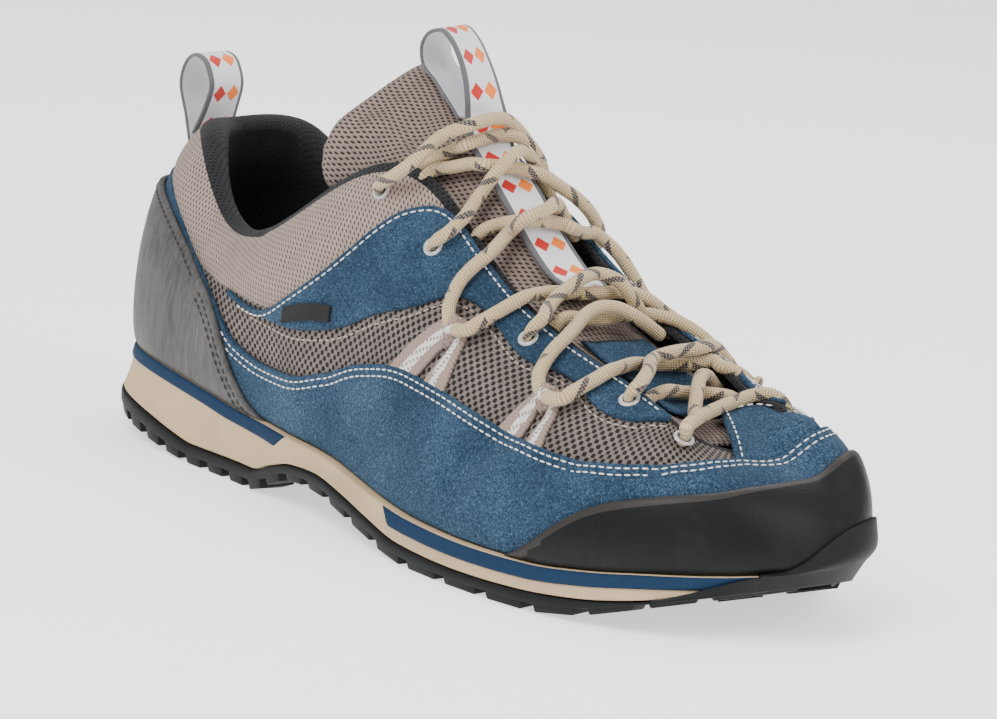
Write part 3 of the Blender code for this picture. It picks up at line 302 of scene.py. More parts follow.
def netMap(points, origin=(0.0, 0.0)):
    along = np.linalg.norm(np.diff(points, axis=1), axis=2)
    across = np.linalg.norm(np.diff(points, axis=0), axis=2)
    u = np.concatenate([np.zeros((len(points), 1)), np.cumsum(along, axis=1)], 1)
    v = np.concatenate([np.zeros((1, points.shape[1])), np.cumsum(across, axis=0)], 0)
    return np.stack([u + origin[0], np.broadcast_to(v.mean(1)[:, None], v.shape) + origin[1]], 2)


# The finished piece: seams merged, faces outward, at its place in the frame
def makePiece(name, bm, finishes, nodes, sharp=None):
    bmesh.ops.remove_doubles(bm, verts=bm.verts[:], dist=0.000002)
    bmesh.ops.recalc_face_normals(bm, faces=bm.faces[:])
    bmesh.ops.translate(bm, verts=bm.verts[:], vec=shift)
    mesh = bpy.data.meshes.new(name)
    bm.to_mesh(mesh)
    bm.free()
    for finish in finishes:
        mesh.materials.append(finish)
    mesh.shade_smooth()
    if sharp:
        mesh.set_sharp_from_angle(angle=math.radians(sharp))
    piece = bpy.data.objects.new(name, mesh)
    bpy.context.scene.collection.objects.link(piece)
    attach(piece, "root")
    if nodes:
        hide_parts(*nodes)
    return piece


# Finishes. A node with its inputs set, or linked where the value is another node's output
def addNode(tree, kind, inputs, output=0, **settings):
    made = tree.nodes.new("ShaderNode" + kind)
    for setting, value in settings.items():
        setattr(made, setting, value)
    for socket, value in inputs.items():
        if isinstance(value, bpy.types.NodeSocket):
            tree.links.new(value, made.inputs[socket])
        else:
            made.inputs[socket].default_value = value
    return made.outputs[output]


def newFinish(name, **shaderValues):
    made = bpy.data.materials.new(name)
    made.use_nodes = True
    shader = made.node_tree.nodes["Principled BSDF"]
    for socket, value in shaderValues.items():
        shader.inputs[socket.replace("_", " ")].default_value = value
    return made, made.node_tree, shader


def calc(tree, operation, a, b=0.0, c=0.0):
    return addNode(tree, "Math", {0: a, 1: b, 2: c}, operation=operation)


def blendColour(tree, factor, a, b, blend="MIX"):
    made = tree.nodes.new("ShaderNodeMix")
    made.data_type = "RGBA"
    made.blend_type = blend
    for socket, value in ((0, factor), (6, a), (7, b)):
        if isinstance(value, bpy.types.NodeSocket):
            tree.links.new(value, made.inputs[socket])
        elif socket == 0:
            made.inputs[socket].default_value = value
        else:
            made.inputs[socket].default_value = (*value, 1.0)
    return made.outputs[2]


def ease(tree, value, low, high):
    return addNode(tree, "MapRange", {"Value": value, "From Min": low, "From Max": high},
                   interpolation_type="SMOOTHSTEP")


def noise(tree, scale, detail=2.0, vector=None, roughness=0.5):
    if vector is None:
        vector = addNode(tree, "TexCoord", {}, output=3)
    return addNode(tree, "TexNoise", {"Vector": vector, "Scale": scale, "Detail": detail,
                                      "Roughness": roughness})


def bump(tree, shader, height, distance, strength=1.0):
    normal = addNode(tree, "Bump", {"Height": height, "Distance": distance, "Strength": strength})
    tree.links.new(normal, shader.inputs["Normal"])


def wave(tree, value, period, phase=0.0):
    return calc(tree, "COSINE", calc(tree, "MULTIPLY_ADD", value, math.tau / period, phase))


def surfaceMap(tree):
    uv = addNode(tree, "TexCoord", {}, output=2)
    split = tree.nodes.new("ShaderNodeSeparateXYZ")
    tree.links.new(uv, split.inputs[0])
    return uv, split.outputs[0], split.outputs[1]


def suedeFinish(name, dark, mid, light):
    made, tree, shader = newFinish(name, Roughness=0.92, Sheen_Weight=0.10, Sheen_Roughness=0.45,
                                   Specular_IOR_Level=0.10, Sheen_Tint=(0.55, 0.75, 1.0, 1.0))
    brushed = noise(tree, 38.0, 3.0, roughness=0.6)
    nap = noise(tree, 1300.0, 5.0, roughness=0.8)
    fibre = noise(tree, 2600.0, 3.0, roughness=0.7)
    mottle = calc(tree, "MULTIPLY_ADD", calc(tree, "SUBTRACT", nap, 0.5), 2.8, brushed)
    mottle = calc(tree, "MULTIPLY_ADD", calc(tree, "SUBTRACT", fibre, 0.5), 1.6, mottle)
    base = blendColour(tree, ease(tree, mottle, 0.05, 0.60), dark, mid)
    base = blendColour(tree, ease(tree, mottle, 0.56, 1.15), base, light)
    tree.links.new(base, shader.inputs["Base Color"])
    bump(tree, shader, calc(tree, "ADD", nap, fibre), 0.00035, 0.6)
    return made


# Knitted and woven cloth: staggered holes between threads, on the piece's own map in metres
def clothFinish(name, thread, light, hole, pitch, row, lean=0.0, width=(0.05, 0.45), depth=0.0004,
                roughness=0.9, ribs=0.0, sheen=0.15):
    made, tree, shader = newFinish(name, Roughness=roughness, Sheen_Weight=sheen, Sheen_Roughness=0.5,
                                   Specular_IOR_Level=0.2)
    _, x, y = surfaceMap(tree)
    leaning = calc(tree, "MULTIPLY_ADD", y, lean, x)
    cell = calc(tree, "MULTIPLY", wave(tree, leaning, pitch), wave(tree, y, row))
    holes = ease(tree, cell, *width)
    strands = calc(tree, "MULTIPLY", wave(tree, leaning, pitch / 4), wave(tree, y, row / 4, 0.8))
    twist = calc(tree, "MULTIPLY_ADD", strands, 0.5, 0.5)
    shade = noise(tree, 160.0, 3.0)
    yarn = blendColour(tree, calc(tree, "MULTIPLY_ADD", shade, 0.7, calc(tree, "MULTIPLY", twist, 0.35)),
                       thread, light)
    base = blendColour(tree, holes, yarn, hole)
    tree.links.new(base, shader.inputs["Base Color"])
    relief = calc(tree, "MULTIPLY_ADD", twist, 0.25, calc(tree, "SUBTRACT", 1.0, holes))
    if ribs:
        relief = calc(tree, "MULTIPLY_ADD", wave(tree, x, ribs), 0.3, relief)
    bump(tree, shader, relief, depth)
    return made


def foamFinish(name, base, shade, speck):
    made, tree, shader = newFinish(name, Roughness=0.8, Specular_IOR_Level=0.3)
    grain = noise(tree, 1500.0, 4.0, roughness=0.7)
    patch = noise(tree, 60.0, 3.0)
    colour = blendColour(tree, ease(tree, patch, 0.3, 0.75), base, shade)
    colour = blendColour(tree, ease(tree, grain, 0.52, 0.78), colour, speck)
    tree.links.new(colour, shader.inputs["Base Color"])
    bump(tree, shader, grain, 0.00035, 0.5)
    return made


def rubberFinish(name, base, worn, roughness, grainScale=1800.0, specular=0.2):
    made, tree, shader = newFinish(name, Roughness=roughness, Specular_IOR_Level=specular)
    grain = noise(tree, grainScale, 4.0, roughness=0.7)
    scuff = noise(tree, 45.0, 5.0, roughness=0.7)
    colour = blendColour(tree, ease(tree, scuff, 0.50, 0.80), base, worn)
    tree.links.new(colour, shader.inputs["Base Color"])
    gloss = calc(tree, "MULTIPLY_ADD", scuff, 0.30, roughness - 0.15)
    tree.links.new(gloss, shader.inputs["Roughness"])
    bump(tree, shader, calc(tree, "MULTIPLY_ADD", scuff, 1.5, grain), 0.00018, 0.6)
    return made


# Brushed leather: long streaks up the heel
def brushedFinish(name, dark, light):
    made, tree, shader = newFinish(name, Roughness=0.55, Specular_IOR_Level=0.4)
    place = addNode(tree, "TexCoord", {}, output=3)
    streaky = addNode(tree, "Mapping", {"Vector": place, "Scale": (620.0, 620.0, 60.0),
                                        "Rotation": (0.0, 0.35, 0.0)})
    streaks = noise(tree, 1.0, 5.0, streaky, 0.7)
    fine = noise(tree, 3.2, 4.0, streaky, 0.7)
    patch = noise(tree, 55.0, 3.0)
    tone = calc(tree, "MULTIPLY_ADD", fine, 0.5, calc(tree, "MULTIPLY_ADD", patch, 0.5, streaks))
    colour = blendColour(tree, ease(tree, tone, 0.65, 1.35), dark, light)
    tree.links.new(colour, shader.inputs["Base Color"])
    bump(tree, shader, calc(tree, "ADD", streaks, fine), 0.0003, 0.8)
    return made


# Woven tape with grey edges and small plain red and orange lozenges
def tapeFinish(name, spec):
    made, tree, shader = newFinish(name, Roughness=0.75, Specular_IOR_Level=0.3, Sheen_Weight=0.2)
    _, along, across = surfaceMap(tree)
    ribs = wave(tree, along, spec["rib"])
    cords = wave(tree, across, spec["cord"])
    weave = calc(tree, "MULTIPLY_ADD", calc(tree, "MULTIPLY", ribs, cords), 0.5, 0.5)
    colour = blendColour(tree, weave, spec["white"], spec["shade"])
    beat = calc(tree, "PINGPONG", along, spec["beat"] / 2)
    for tone, side in ((spec["red"], -spec["offset"]), (spec["orange"], spec["offset"])):
        aside = calc(tree, "ABSOLUTE", calc(tree, "SUBTRACT", across, side))
        reach = calc(tree, "ADD", beat, aside)
        colour = blendColour(tree, calc(tree, "LESS_THAN", reach, spec["lozenge"]), colour, tone)
    edge = calc(tree, "GREATER_THAN", calc(tree, "ABSOLUTE", across), spec["plain"])
    colour = blendColour(tree, edge, colour, spec["edge"])
    tree.links.new(colour, shader.inputs["Base Color"])
    bump(tree, shader, calc(tree, "MULTIPLY_ADD", edge, 0.6, weave), 0.00012)
    return made


# Braided round lace; its map runs from 0 to 1 round the lace and in metres along it
def laceFinish(name, spec):
    made, tree, shader = newFinish(name, Roughness=0.8, Specular_IOR_Level=0.25, Sheen_Weight=0.25)
    _, round_, along = surfaceMap(tree)
    turn = calc(tree, "MULTIPLY", round_, math.tau * spec["strands"])
    climb = calc(tree, "MULTIPLY", along, math.tau / spec["braid"])
    plait = calc(tree, "MULTIPLY", calc(tree, "COSINE", calc(tree, "ADD", turn, climb)),
                 calc(tree, "COSINE", calc(tree, "SUBTRACT", turn, climb)))
    cells = calc(tree, "MULTIPLY_ADD", plait, 0.5, 0.5)
    # The groove colour is painted shade in the braid's grooves and the light colour a painted highlight on
    # its crests; both follow the bump's relief
    colour = blendColour(tree, ease(tree, cells, 0.05, 0.6), spec["paintedGrooveShade"], spec["sand"])
    colour = blendColour(tree, ease(tree, cells, 0.6, 1.0), colour, spec["light"])
    for lean, beat, phase in spec["flecks"]:
        spiral = calc(tree, "FRACT", calc(tree, "MULTIPLY_ADD", along, lean, round_))
        dash = calc(tree, "FRACT", calc(tree, "MULTIPLY_ADD", along, 1.0 / beat, phase))
        fleck = calc(tree, "MULTIPLY", calc(tree, "LESS_THAN", spiral, 0.17),
                     calc(tree, "LESS_THAN", dash, 0.42))
        fleck = calc(tree, "MULTIPLY", fleck, calc(tree, "GREATER_THAN", plait, -0.25))
        colour = blendColour(tree, fleck, colour, spec["navy"])
    tree.links.new(colour, shader.inputs["Base Color"])
    bump(tree, shader, cells, 0.00035)
    return made


suedeBlue = suedeFinish("suedeBlue", (0.009, 0.024, 0.047), (0.025, 0.054, 0.096), (0.085, 0.150, 0.225))
sideMesh = clothFinish("sideMesh", (0.105, 0.086, 0.078), (0.270, 0.225, 0.200), (0.020, 0.016, 0.015),
                       0.0029, 0.0029, width=(-0.02, 0.26), depth=0.0004, sheen=0.05)
collarKnit = clothFinish("collarKnit", (0.270, 0.205, 0.172), (0.420, 0.330, 0.280), (0.085, 0.062, 0.053),
                         0.0015, 0.0030, lean=0.5, width=(0.20, 0.65), depth=0.0003, sheen=0.08)
tongueKnit = clothFinish("tongueKnit", (0.185, 0.140, 0.120), (0.330, 0.255, 0.215), (0.036, 0.027, 0.024),
                         0.0017, 0.0034, lean=0.5, width=(0.12, 0.55), depth=0.0004, sheen=0.08)
blackLining = clothFinish("blackLining", (0.006, 0.0065, 0.0075), (0.022, 0.023, 0.026),
                          (0.001, 0.001, 0.0015),
                          0.0020, 0.0024, width=(0.20, 0.60), depth=0.0004, sheen=0.1)
beigeFoam = foamFinish("beigeFoam", (0.58, 0.43, 0.26), (0.52, 0.38, 0.23), (0.42, 0.30, 0.18))
blueFoam = foamFinish("blueFoam", (0.002, 0.021, 0.058), (0.003, 0.025, 0.068), (0.006, 0.036, 0.090))
blackRubber = rubberFinish("blackRubber", (0.006, 0.0065, 0.007), (0.016, 0.017, 0.018), 0.60)
randRubber = rubberFinish("randRubber", (0.004, 0.0045, 0.005), (0.012, 0.012, 0.012), 0.45, 900.0)
randLip = rubberFinish("randLip", (0.030, 0.027, 0.025), (0.062, 0.055, 0.049), 0.45, 700.0)
greyLeather = brushedFinish("greyLeather", (0.028, 0.027, 0.027), (0.105, 0.100, 0.097))
tapeWeave = tapeFinish("tapeWeave", {
    "rib": 0.0011, "cord": 0.0011, "beat": 0.0110, "offset": 0.0030, "lozenge": 0.0028, "plain": 0.0061,
    "white": (0.86, 0.86, 0.88), "shade": (0.70, 0.70, 0.73), "red": (0.58, 0.012, 0.005),
    "orange": (0.95, 0.20, 0.010), "edge": (0.105, 0.105, 0.115),
})
# Lace colours: light is a painted highlight on the braid's crests, the groove colour painted shade between
# its strands
laceBraid = laceFinish("laceBraid", {
    "strands": 9, "braid": 0.0016, "sand": (0.66, 0.50, 0.28), "light": (0.85, 0.68, 0.43),
    "paintedGrooveShade": (0.34, 0.24, 0.13), "navy": (0.022, 0.031, 0.054),
    "flecks": ((62.0, 0.0150, 0.0), (-62.0, 0.0150, 0.5)),
})
webbingWeave = clothFinish("webbingWeave", (0.300, 0.218, 0.176), (0.400, 0.300, 0.250),
                           (0.190, 0.135, 0.110),
                           0.0016, 0.0012, width=(0.35, 0.95), depth=0.0002)
webbingStripe = clothFinish("webbingStripe", (0.62, 0.60, 0.58), (0.80, 0.79, 0.78), (0.270, 0.200, 0.165),
                            0.0028, 0.0022, lean=0.8, width=(0.30, 0.75), depth=0.00025)
tagCloth = clothFinish("tagCloth", (0.010, 0.010, 0.010), (0.035, 0.035, 0.035), (0.003, 0.003, 0.003),
                       0.0009, 0.0009, depth=0.0001, sheen=0.05)
plainTape = foamFinish("plainTape", (0.62, 0.62, 0.64), (0.56, 0.56, 0.58), (0.44, 0.44, 0.46))
whiteThread = newFinish("whiteThread", Roughness=0.7, Base_Color=(0.80, 0.80, 0.79, 1.0))[0]
creamThread = newFinish("creamThread", Roughness=0.7, Base_Color=(0.46, 0.38, 0.32, 1.0))[0]
darkThread = newFinish("darkThread", Roughness=0.7, Base_Color=(0.022, 0.021, 0.021, 1.0))[0]
eyeletPaint = newFinish("eyeletPaint", Roughness=0.32, Metallic=0.25, Base_Color=(0.58, 0.58, 0.55, 1.0))[0]
for plain, scale in ((whiteThread, 2400.0), (creamThread, 2400.0),
                     (darkThread, 2400.0), (eyeletPaint, 700.0)):
    tree = plain.node_tree
    shader = tree.nodes["Principled BSDF"]
    tone = tuple(shader.inputs["Base Color"].default_value[:3])
    worn = tuple(channel * 0.72 for channel in tone)
    tree.links.new(blendColour(tree, ease(tree, noise(tree, scale), 0.35, 0.75), tone, worn),
                   shader.inputs["Base Color"])
    bump(tree, shader, noise(tree, scale), 0.0001, 0.4)
print("finishes ready")


# The grid of an overlay: place gives round and rise for shares w along it and t across it
def layPlaces(place, step, across, rim, lengthAt=0.5):
    w = np.linspace(0, 1, 400)
    length = alongLength(skin(*place(w, np.full(400, lengthAt)), 0.0))
    lines = np.array([0.0, 0.12, 0.35, 0.65, 1.0, 1.5, 2.2]) * rim
    whole = length[-1]
    inside = np.linspace(lines[-1], whole - lines[-1], max(3, int(whole / step)))[1:-1]
    along = np.interp(np.concatenate([lines, inside, whole - lines[::-1]]), length, w)[:, None]
    cross = skin(*place(along, np.linspace(0, 1, 9)[None, :]), 0.0)
    rowLength = np.maximum(np.linalg.norm(np.diff(cross, axis=1), axis=2).sum(1), 0.0002)[:, None]
    near = lines[None, :] * np.minimum(1.0, 0.45 * rowLength / lines[-1]) / rowLength
    middle = np.linspace(0, 1, across)[None, 1:-1]
    t = np.concatenate([near, near[:, -1:] + (1 - 2 * near[:, -1:]) * middle, 1 - near[:, ::-1]], 1)
    return np.broadcast_to(along, t.shape), t


# How far each point of a net is from a line of points
def awayFrom(net, line):
    fine = evenRun(line, max(2, int(alongLength(line)[-1] / 0.0003)))
    tree = KDTree(len(fine))
    for k, point in enumerate(fine):
        tree.insert(point, k)
    tree.balance()
    return np.array([tree.find(point)[2] for point in net.reshape(-1, 3)]).reshape(net.shape[:2])


# A closed overlay with rounded rims; grooves are distances in from its free edges where a seam pulls it in
def makeOverlay(bm, place, inner, outer, spec, closed=False, lip=None, swell=None, stripe=None):
    rim = spec.get("rim", 0.0006)
    if closed:
        w = np.linspace(0, 1, spec["stations"] + 1)[:, None]
        lines = np.array([0.0, 0.12, 0.35, 0.65, 1.0, 1.8, 2.6, 3.4, 4.4, 5.4, 6.2, 7.0]) * rim
        cross = skin(*place(w, np.linspace(0, 1, 9)[None, :]), 0.0)
        rowLength = np.linalg.norm(np.diff(cross, axis=1), axis=2).sum(1)[:, None]
        near = lines[None, :] / rowLength
        middle = np.linspace(0, 1, spec["across"])[None, 1:-1]
        t = np.concatenate([near, near[:, -1:] + (1 - 2 * near[:, -1:]) * middle, 1 - near[:, ::-1]], 1)
        w = np.broadcast_to(w, t.shape)
    else:
        w, t = layPlaces(place, spec["step"], spec["across"], rim, spec.get("lengthAt", 0.5))
    round_, rise = place(w, t)
    flat = skin(round_, rise, outer)
    edges = {"low": flat[:, 0], "high": flat[:, -1]}
    if not closed:
        edges.update(start=flat[0], end=flat[-1])
    away = {side: awayFrom(flat, line) for side, line in edges.items()}
    near = np.minimum.reduce(list(away.values()))
    lift = np.sqrt(1 - (1 - np.clip(near / rim, 0, 1))**2)
    lift[:, [0, -1]] = 0
    if not closed:
        lift[[0, -1]] = 0
    height = inner + (outer - inner) * lift
    if swell is not None:
        height = height + swell(w, t) * lift
    for side, offset in spec.get("seams", ()):
        height = height - 0.00022 * np.exp(-((away[side] - offset) / 0.00045)**2) * lift
    top, bottom = skin(round_, rise, height), skin(round_, rise, inner)
    uvs = netMap(flat)
    finishOf = None
    if lip is not None:
        finishOf = (away["high"][:-1, :-1] < lip).astype(int)
    if stripe is not None:
        finishOf = ((t > stripe[0]) & (t < stripe[1])).astype(int)[:-1, :-1]
    addNet(bm, top, uvs, finishOf)
    addNet(bm, bottom, uvs)
    return {"round": round_, "rise": rise, "outer": outer, "edges": edges, "flat": flat}


# A line of stitches: short round-ended threads that follow points, each laid along the surface
def addStitches(bm, points, normals, spec):
    length = alongLength(points)
    count = int(length[-1] / spec["pitch"])
    at = (np.arange(count) + 0.5) * length[-1] / max(count, 1)
    centre = np.stack([np.interp(at, length, points[:, k]) for k in range(3)], 1)
    tangent = unit(np.stack([np.interp(at + 0.0004, length, points[:, k]) -
                             np.interp(at - 0.0004, length, points[:, k]) for k in range(3)], 1))
    normal = np.stack([np.interp(at, length, normals[:, k]) for k in range(3)], 1)
    for place, way, up in zip(centre, tangent, normal):
        side = np.cross(up, way)
        side /= np.linalg.norm(side)
        up = np.cross(way, side)
        turn = np.stack([way * spec["length"] / 2, side * spec["width"] / 2, up * spec["width"] * 0.42,
                         place + up * spec["lift"]], 1)
        matrix = Matrix(np.vstack([turn, [0, 0, 0, 1]]).tolist())
        bmesh.ops.create_uvsphere(bm, u_segments=7, v_segments=5, radius=1.0, matrix=matrix @ lieDown)


lieDown = Matrix.Rotation(math.radians(90), 4, "Y")
threadSpec = {"pitch": 0.0026, "length": 0.0020, "width": 0.00058, "lift": 0.00005}


# The line a seam follows, at a distance in from an overlay's edge
def seamLine(made, side, offset, first=0.0, last_=1.0):
    edge = evenRun(made["edges"][side], 400)[int(first * 399):int(last_ * 399) + 1]
    net = made["flat"]
    middle = net[net.shape[0] // 2, net.shape[1] // 2]
    rows = {"low": (net[:, 0], net[:, net.shape[1] // 2]), "high": (net[:, -1], net[:, net.shape[1] // 2]),
            "start": (net[0], net[net.shape[0] // 2]), "end": (net[-1], net[net.shape[0] // 2])}[side]
    normals = netNormals(net)
    normals = {"low": normals[:, 2], "high": normals[:, -3], "start": normals[2], "end": normals[-3]}[side]
    border = {"low": net[:, 0], "high": net[:, -1], "start": net[0], "end": net[-1]}[side]
    length = alongLength(border)
    at = np.linspace(0, length[-1], 400)[int(first * 399):int(last_ * 399) + 1]
    normal = unit(np.stack([np.interp(at, length, normals[:, k]) for k in range(3)], 1))
    inward = np.stack([np.interp(at, length, (rows[1] - rows[0])[:, k]) for k in range(3)], 1)
    tangent = unit(np.gradient(edge, axis=0))
    side_ = unit(np.cross(normal, tangent))
    side_ *= np.sign((side_ * inward).sum(1))[:, None]
    return edge + side_ * offset, normal


def netNormals(net):
    normals = unit(np.cross(np.gradient(net, axis=0), np.gradient(net, axis=1)) + 1e-12)
    away = (normals * (net - net.reshape(-1, 3).mean(0) * np.array([1, 0, 0.3]))).sum()
    return normals * np.sign(away)


def between(edges, smooth=12):
    fine = smoothRun(edges, smooth)
    at = np.linspace(0, 1, len(fine))

    def place(w, t):
        low = [np.interp(w, at, fine[:, k]) for k in range(4)]
        return low[0] * (1 - t) + low[2] * t, low[1] * (1 - t) + low[3] * t
    return place


def mirrorPlaces(rows, side):
    rows = np.array(rows, float)
    if side == "inner":
        rows[:, 0::2] = 1 - rows[:, 0::2]
    return rows


def collarShare(round_):
    away = np.minimum(round_ % 1.0, 1 - round_ % 1.0)
    return 1 - smoothStep(away, 0.180, 0.250)


# The upper: outer face, rolled rim and lining in one closed skin
upperSpec = {
    "columns": 480, "outerRows": 66, "lipRows": 12, "innerRows": 34, "lipHeight": 0.7, "innerHeight": 0.7,
    "puff": 0.0017, "vampDip": 0.0055,
    "fabricLow": ((0.0, 0.74), (0.09, 0.70), (0.155, 0.64), (0.19, 0.54), (0.213, 0.56), (0.24, 0.62),
                  (0.256, 0.70), (0.268, 0.79), (0.277, 0.86), (0.290, 0.96), (0.5, 1.0)),
}


# The upper's edge dips where the vamp lies over it
def underVamp(round_, rise):
    across = smoothStep(round_, 0.493, 0.506) * (1 - smoothStep(round_, 0.550, 0.566))
    return upperSpec["vampDip"] * across * smoothStep(rise, 0.78, 0.96)


def makeUpper():
    spec = upperSpec
    u = np.linspace(0, 1, spec["columns"] + 1)[:, None]
    v = np.linspace(0, 1, spec["outerRows"])[None, :]
    aside = np.minimum(u, 1 - u)
    lowPlaces, lowRises = np.array(spec["fabricLow"]).T
    fabricLow = np.interp(aside, lowPlaces, lowRises)
    share = np.clip((v - fabricLow) / np.maximum(1 - fabricLow, 0.03), 0, 1)
    soft = spec["puff"] * (1 - 0.75 * smoothStep(aside, 0.21, 0.29)) * (aside < 0.30)
    outer = skin(u, v, upperFace + soft * np.sin(math.pi * share**0.8)**0.8 - underVamp(u, v))
    inV = np.linspace(1, 0, spec["innerRows"])[None, :]
    wall = last["wall"] + last["collarPad"] * collarShare(u) * smoothStep(inV, 0.45, 0.90)
    inner = skin(u, inV, upperFace - wall - underVamp(u, inV))
    start, end = outer[:, -1], inner[:, 0]
    up = unit(outer[:, -1] - outer[:, -3])
    middle, half = (start + end) / 2, (start - end) / 2
    high = smoothStep(u, 0.75, 0.79) * (1 - smoothStep(u, 0.88, 0.93))
    crest = up * np.linalg.norm(half, axis=1)[:, None] * (spec["lipHeight"] + spec["innerHeight"] * high)
    angles = np.linspace(0, math.pi, spec["lipRows"] + 2)[1:-1]
    lip = np.stack([middle + half * math.cos(a) + crest * math.sin(a) for a in angles], 1)
    net = np.concatenate([outer, lip, inner, outer[:, :1]], 1)
    rows = net.shape[1]
    finishOf = np.zeros((spec["columns"], rows - 1), int)
    finishOf[:, spec["outerRows"] - 1:] = 2
    knit = (share > 0) & (aside < 0.30)
    finishOf[:, :spec["outerRows"] - 1][knit[:-1, :-1]] = 1
    finishOf[:, spec["outerRows"] - 3:spec["outerRows"] - 1] = 2
    around = np.append(0.0, np.cumsum(np.linalg.norm(np.diff(outer[:, outer.shape[1] // 2], axis=0), axis=1)))
    climbs = np.linalg.norm(np.diff(net, axis=1), axis=2)
    up = np.cumsum(np.concatenate([np.zeros((len(net), 1)), climbs], 1), 1)
    uvs = np.stack([np.broadcast_to(around[:, None], up.shape), up], 2)
    bm = bmesh.new()
    addNet(bm, net, uvs, finishOf)
    return makePiece("upper_shell", bm, (sideMesh, collarKnit, blackLining), ("upper",))


upperPiece = makeUpper()
print("upper made")

# Mudguard: suede all round the foot
mudguardRows = np.array((
    (0.000, 0.76), (0.090, 0.74), (0.120, 0.67), (0.140, 0.56), (0.160, 0.40), (0.190, 0.32), (0.225, 0.29),
    (0.260, 0.33), (0.290, 0.42), (0.315, 0.50), (0.340, 0.53), (0.380, 0.53), (0.410, 0.57), (0.440, 0.66),
    (0.470, 0.81), (0.490, 0.87), (0.520, 0.87), (0.550, 0.80), (0.580, 0.65), (0.605, 0.55), (0.665, 0.53),
    (0.690, 0.49), (0.720, 0.38), (0.755, 0.31), (0.800, 0.31), (0.840, 0.40), (0.860, 0.56), (0.880, 0.67),
    (0.910, 0.74), (1.000, 0.76),
))
mudguardSpec = {"stations": 420, "across": 16, "seams": (("high", 0.0017), ("high", 0.0037))}


def mudguardPlace(w, t):
    edge = runCurve(mudguardRows[:, 0], mudguardRows[:, 1], np.asarray(w, float).ravel()).reshape(w.shape)
    return w + 0 * t, edge * t


bm = bmesh.new()
mudguardNet = makeOverlay(bm, mudguardPlace, -last["suede"], 0.0, mudguardSpec, closed=True)
makePiece("suede_mudguard", bm, (suedeBlue,), ("mudguard",))
bm = bmesh.new()
for offset in (0.0017, 0.0037):
    addStitches(bm, *seamLine(mudguardNet, "high", offset, 0.155, 0.85), threadSpec)
makePiece("mudguard_stitches", bm, (whiteThread,), ())
print("mudguard made")

# Quarters that carry the eyelets
eyestayRows = (
    (0.151, 0.620, 0.151, 0.655), (0.183, 0.525, 0.185, 0.550), (0.217, 0.446, 0.213, 0.570),
    (0.247, 0.442, 0.237, 0.629), (0.268, 0.475, 0.252, 0.700), (0.284, 0.545, 0.263, 0.780),
    (0.302, 0.654, 0.276, 0.880), (0.314, 0.787, 0.293, 0.975), (0.324, 0.845, 0.312, 0.985),
    (0.335, 0.840, 0.330, 0.985), (0.350, 0.808, 0.348, 0.985), (0.362, 0.840, 0.362, 0.985),
    (0.374, 0.835, 0.376, 0.985), (0.388, 0.785, 0.390, 0.985), (0.404, 0.808, 0.404, 0.985),
    (0.420, 0.900, 0.418, 0.985), (0.430, 0.955, 0.430, 0.987),
)
eyestaySpec = {"step": 0.0020, "across": 14, "seams": (("high", 0.0018),)}
meshSeamSpec = {"drop": 0.030, "out": upperFace}
webbingRows = {
    "rear": ((0.302, 0.425, 0.318, 0.480), (0.3185, 0.735, 0.3240, 0.655), (0.3235, 0.750, 0.3250, 0.640),
             (0.3280, 0.760, 0.3260, 0.660), (0.333, 0.505, 0.322, 0.480)),
    "front": ((0.359, 0.520, 0.369, 0.495), (0.3640, 0.730, 0.3680, 0.660), (0.3680, 0.745, 0.3695, 0.645),
              (0.3725, 0.750, 0.3710, 0.665), (0.379, 0.520, 0.372, 0.490)),
}
webbingSpec = {"step": 0.0010, "across": 10, "rim": 0.0005, "thickness": 0.0012, "stripe": (0.30, 0.70),
               "foldAt": 0.50, "foldWidth": 0.17, "foldHeight": 0.0042}


# The strap is folded round the lace halfway along
def foldSwell(w, t):
    away = (w - webbingSpec["foldAt"]) / webbingSpec["foldWidth"]
    return webbingSpec["foldHeight"] * np.exp(-away**2)


for side in ("outer", "inner"):
    bm = bmesh.new()
    place = between(mirrorPlaces(eyestayRows, side))
    net = makeOverlay(bm, place, -last["suede"], 0.0, eyestaySpec)
    makePiece("suede_quarter_" + side, bm, (suedeBlue,), ("eyestay_" + side,))
    bm = bmesh.new()
    addStitches(bm, *seamLine(net, "high", 0.0018, 0.04, 0.985), threadSpec)
    makePiece("quarter_stitches_" + side, bm, (whiteThread,), ())
    w = np.linspace(0.04, 1.0, 300)
    round_, rise = place(w, np.zeros(300))
    below = skin(round_, rise - meshSeamSpec["drop"], meshSeamSpec["out"])
    normals = skinNormal(round_, rise)
    bm = bmesh.new()
    addStitches(bm, below, normals, threadSpec)
    makePiece("mesh_seam_" + side, bm, (creamThread,), ())
    for name, rows in webbingRows.items():
        bm = bmesh.new()
        inner = upperFace + gap
        makeOverlay(bm, between(mirrorPlaces(rows, side), 10), inner, inner + webbingSpec["thickness"],
                    webbingSpec, stripe=webbingSpec["stripe"], swell=foldSwell)
        makePiece("webbing_" + name + "_strap_" + side, bm, (webbingWeave, webbingStripe),
                          ("webbing_" + name + "_" + side,))
print("quarters and webbing made")

# Heel counter, in brushed grey leather with a double dark seam at its front edges
counterSpec = {
    "step": 0.0022, "across": 60, "rim": 0.0008, "lengthAt": 0.0,
    "front": ((0.184, 0.0), (0.181, 0.05), (0.168, 0.24), (0.158, 0.49), (0.149, 0.75), (0.139, 0.93),
              (0.132, 1.0)),
    "top": ((0.0, 0.69), (0.028, 0.69), (0.055, 0.70), (0.085, 0.715), (0.105, 0.705), (0.124, 0.65),
            (0.132, 0.615)),
    "seams": (("low", 0.0022), ("high", 0.0022), ("low", 0.0045), ("high", 0.0045), ("end", 0.0022)),
}


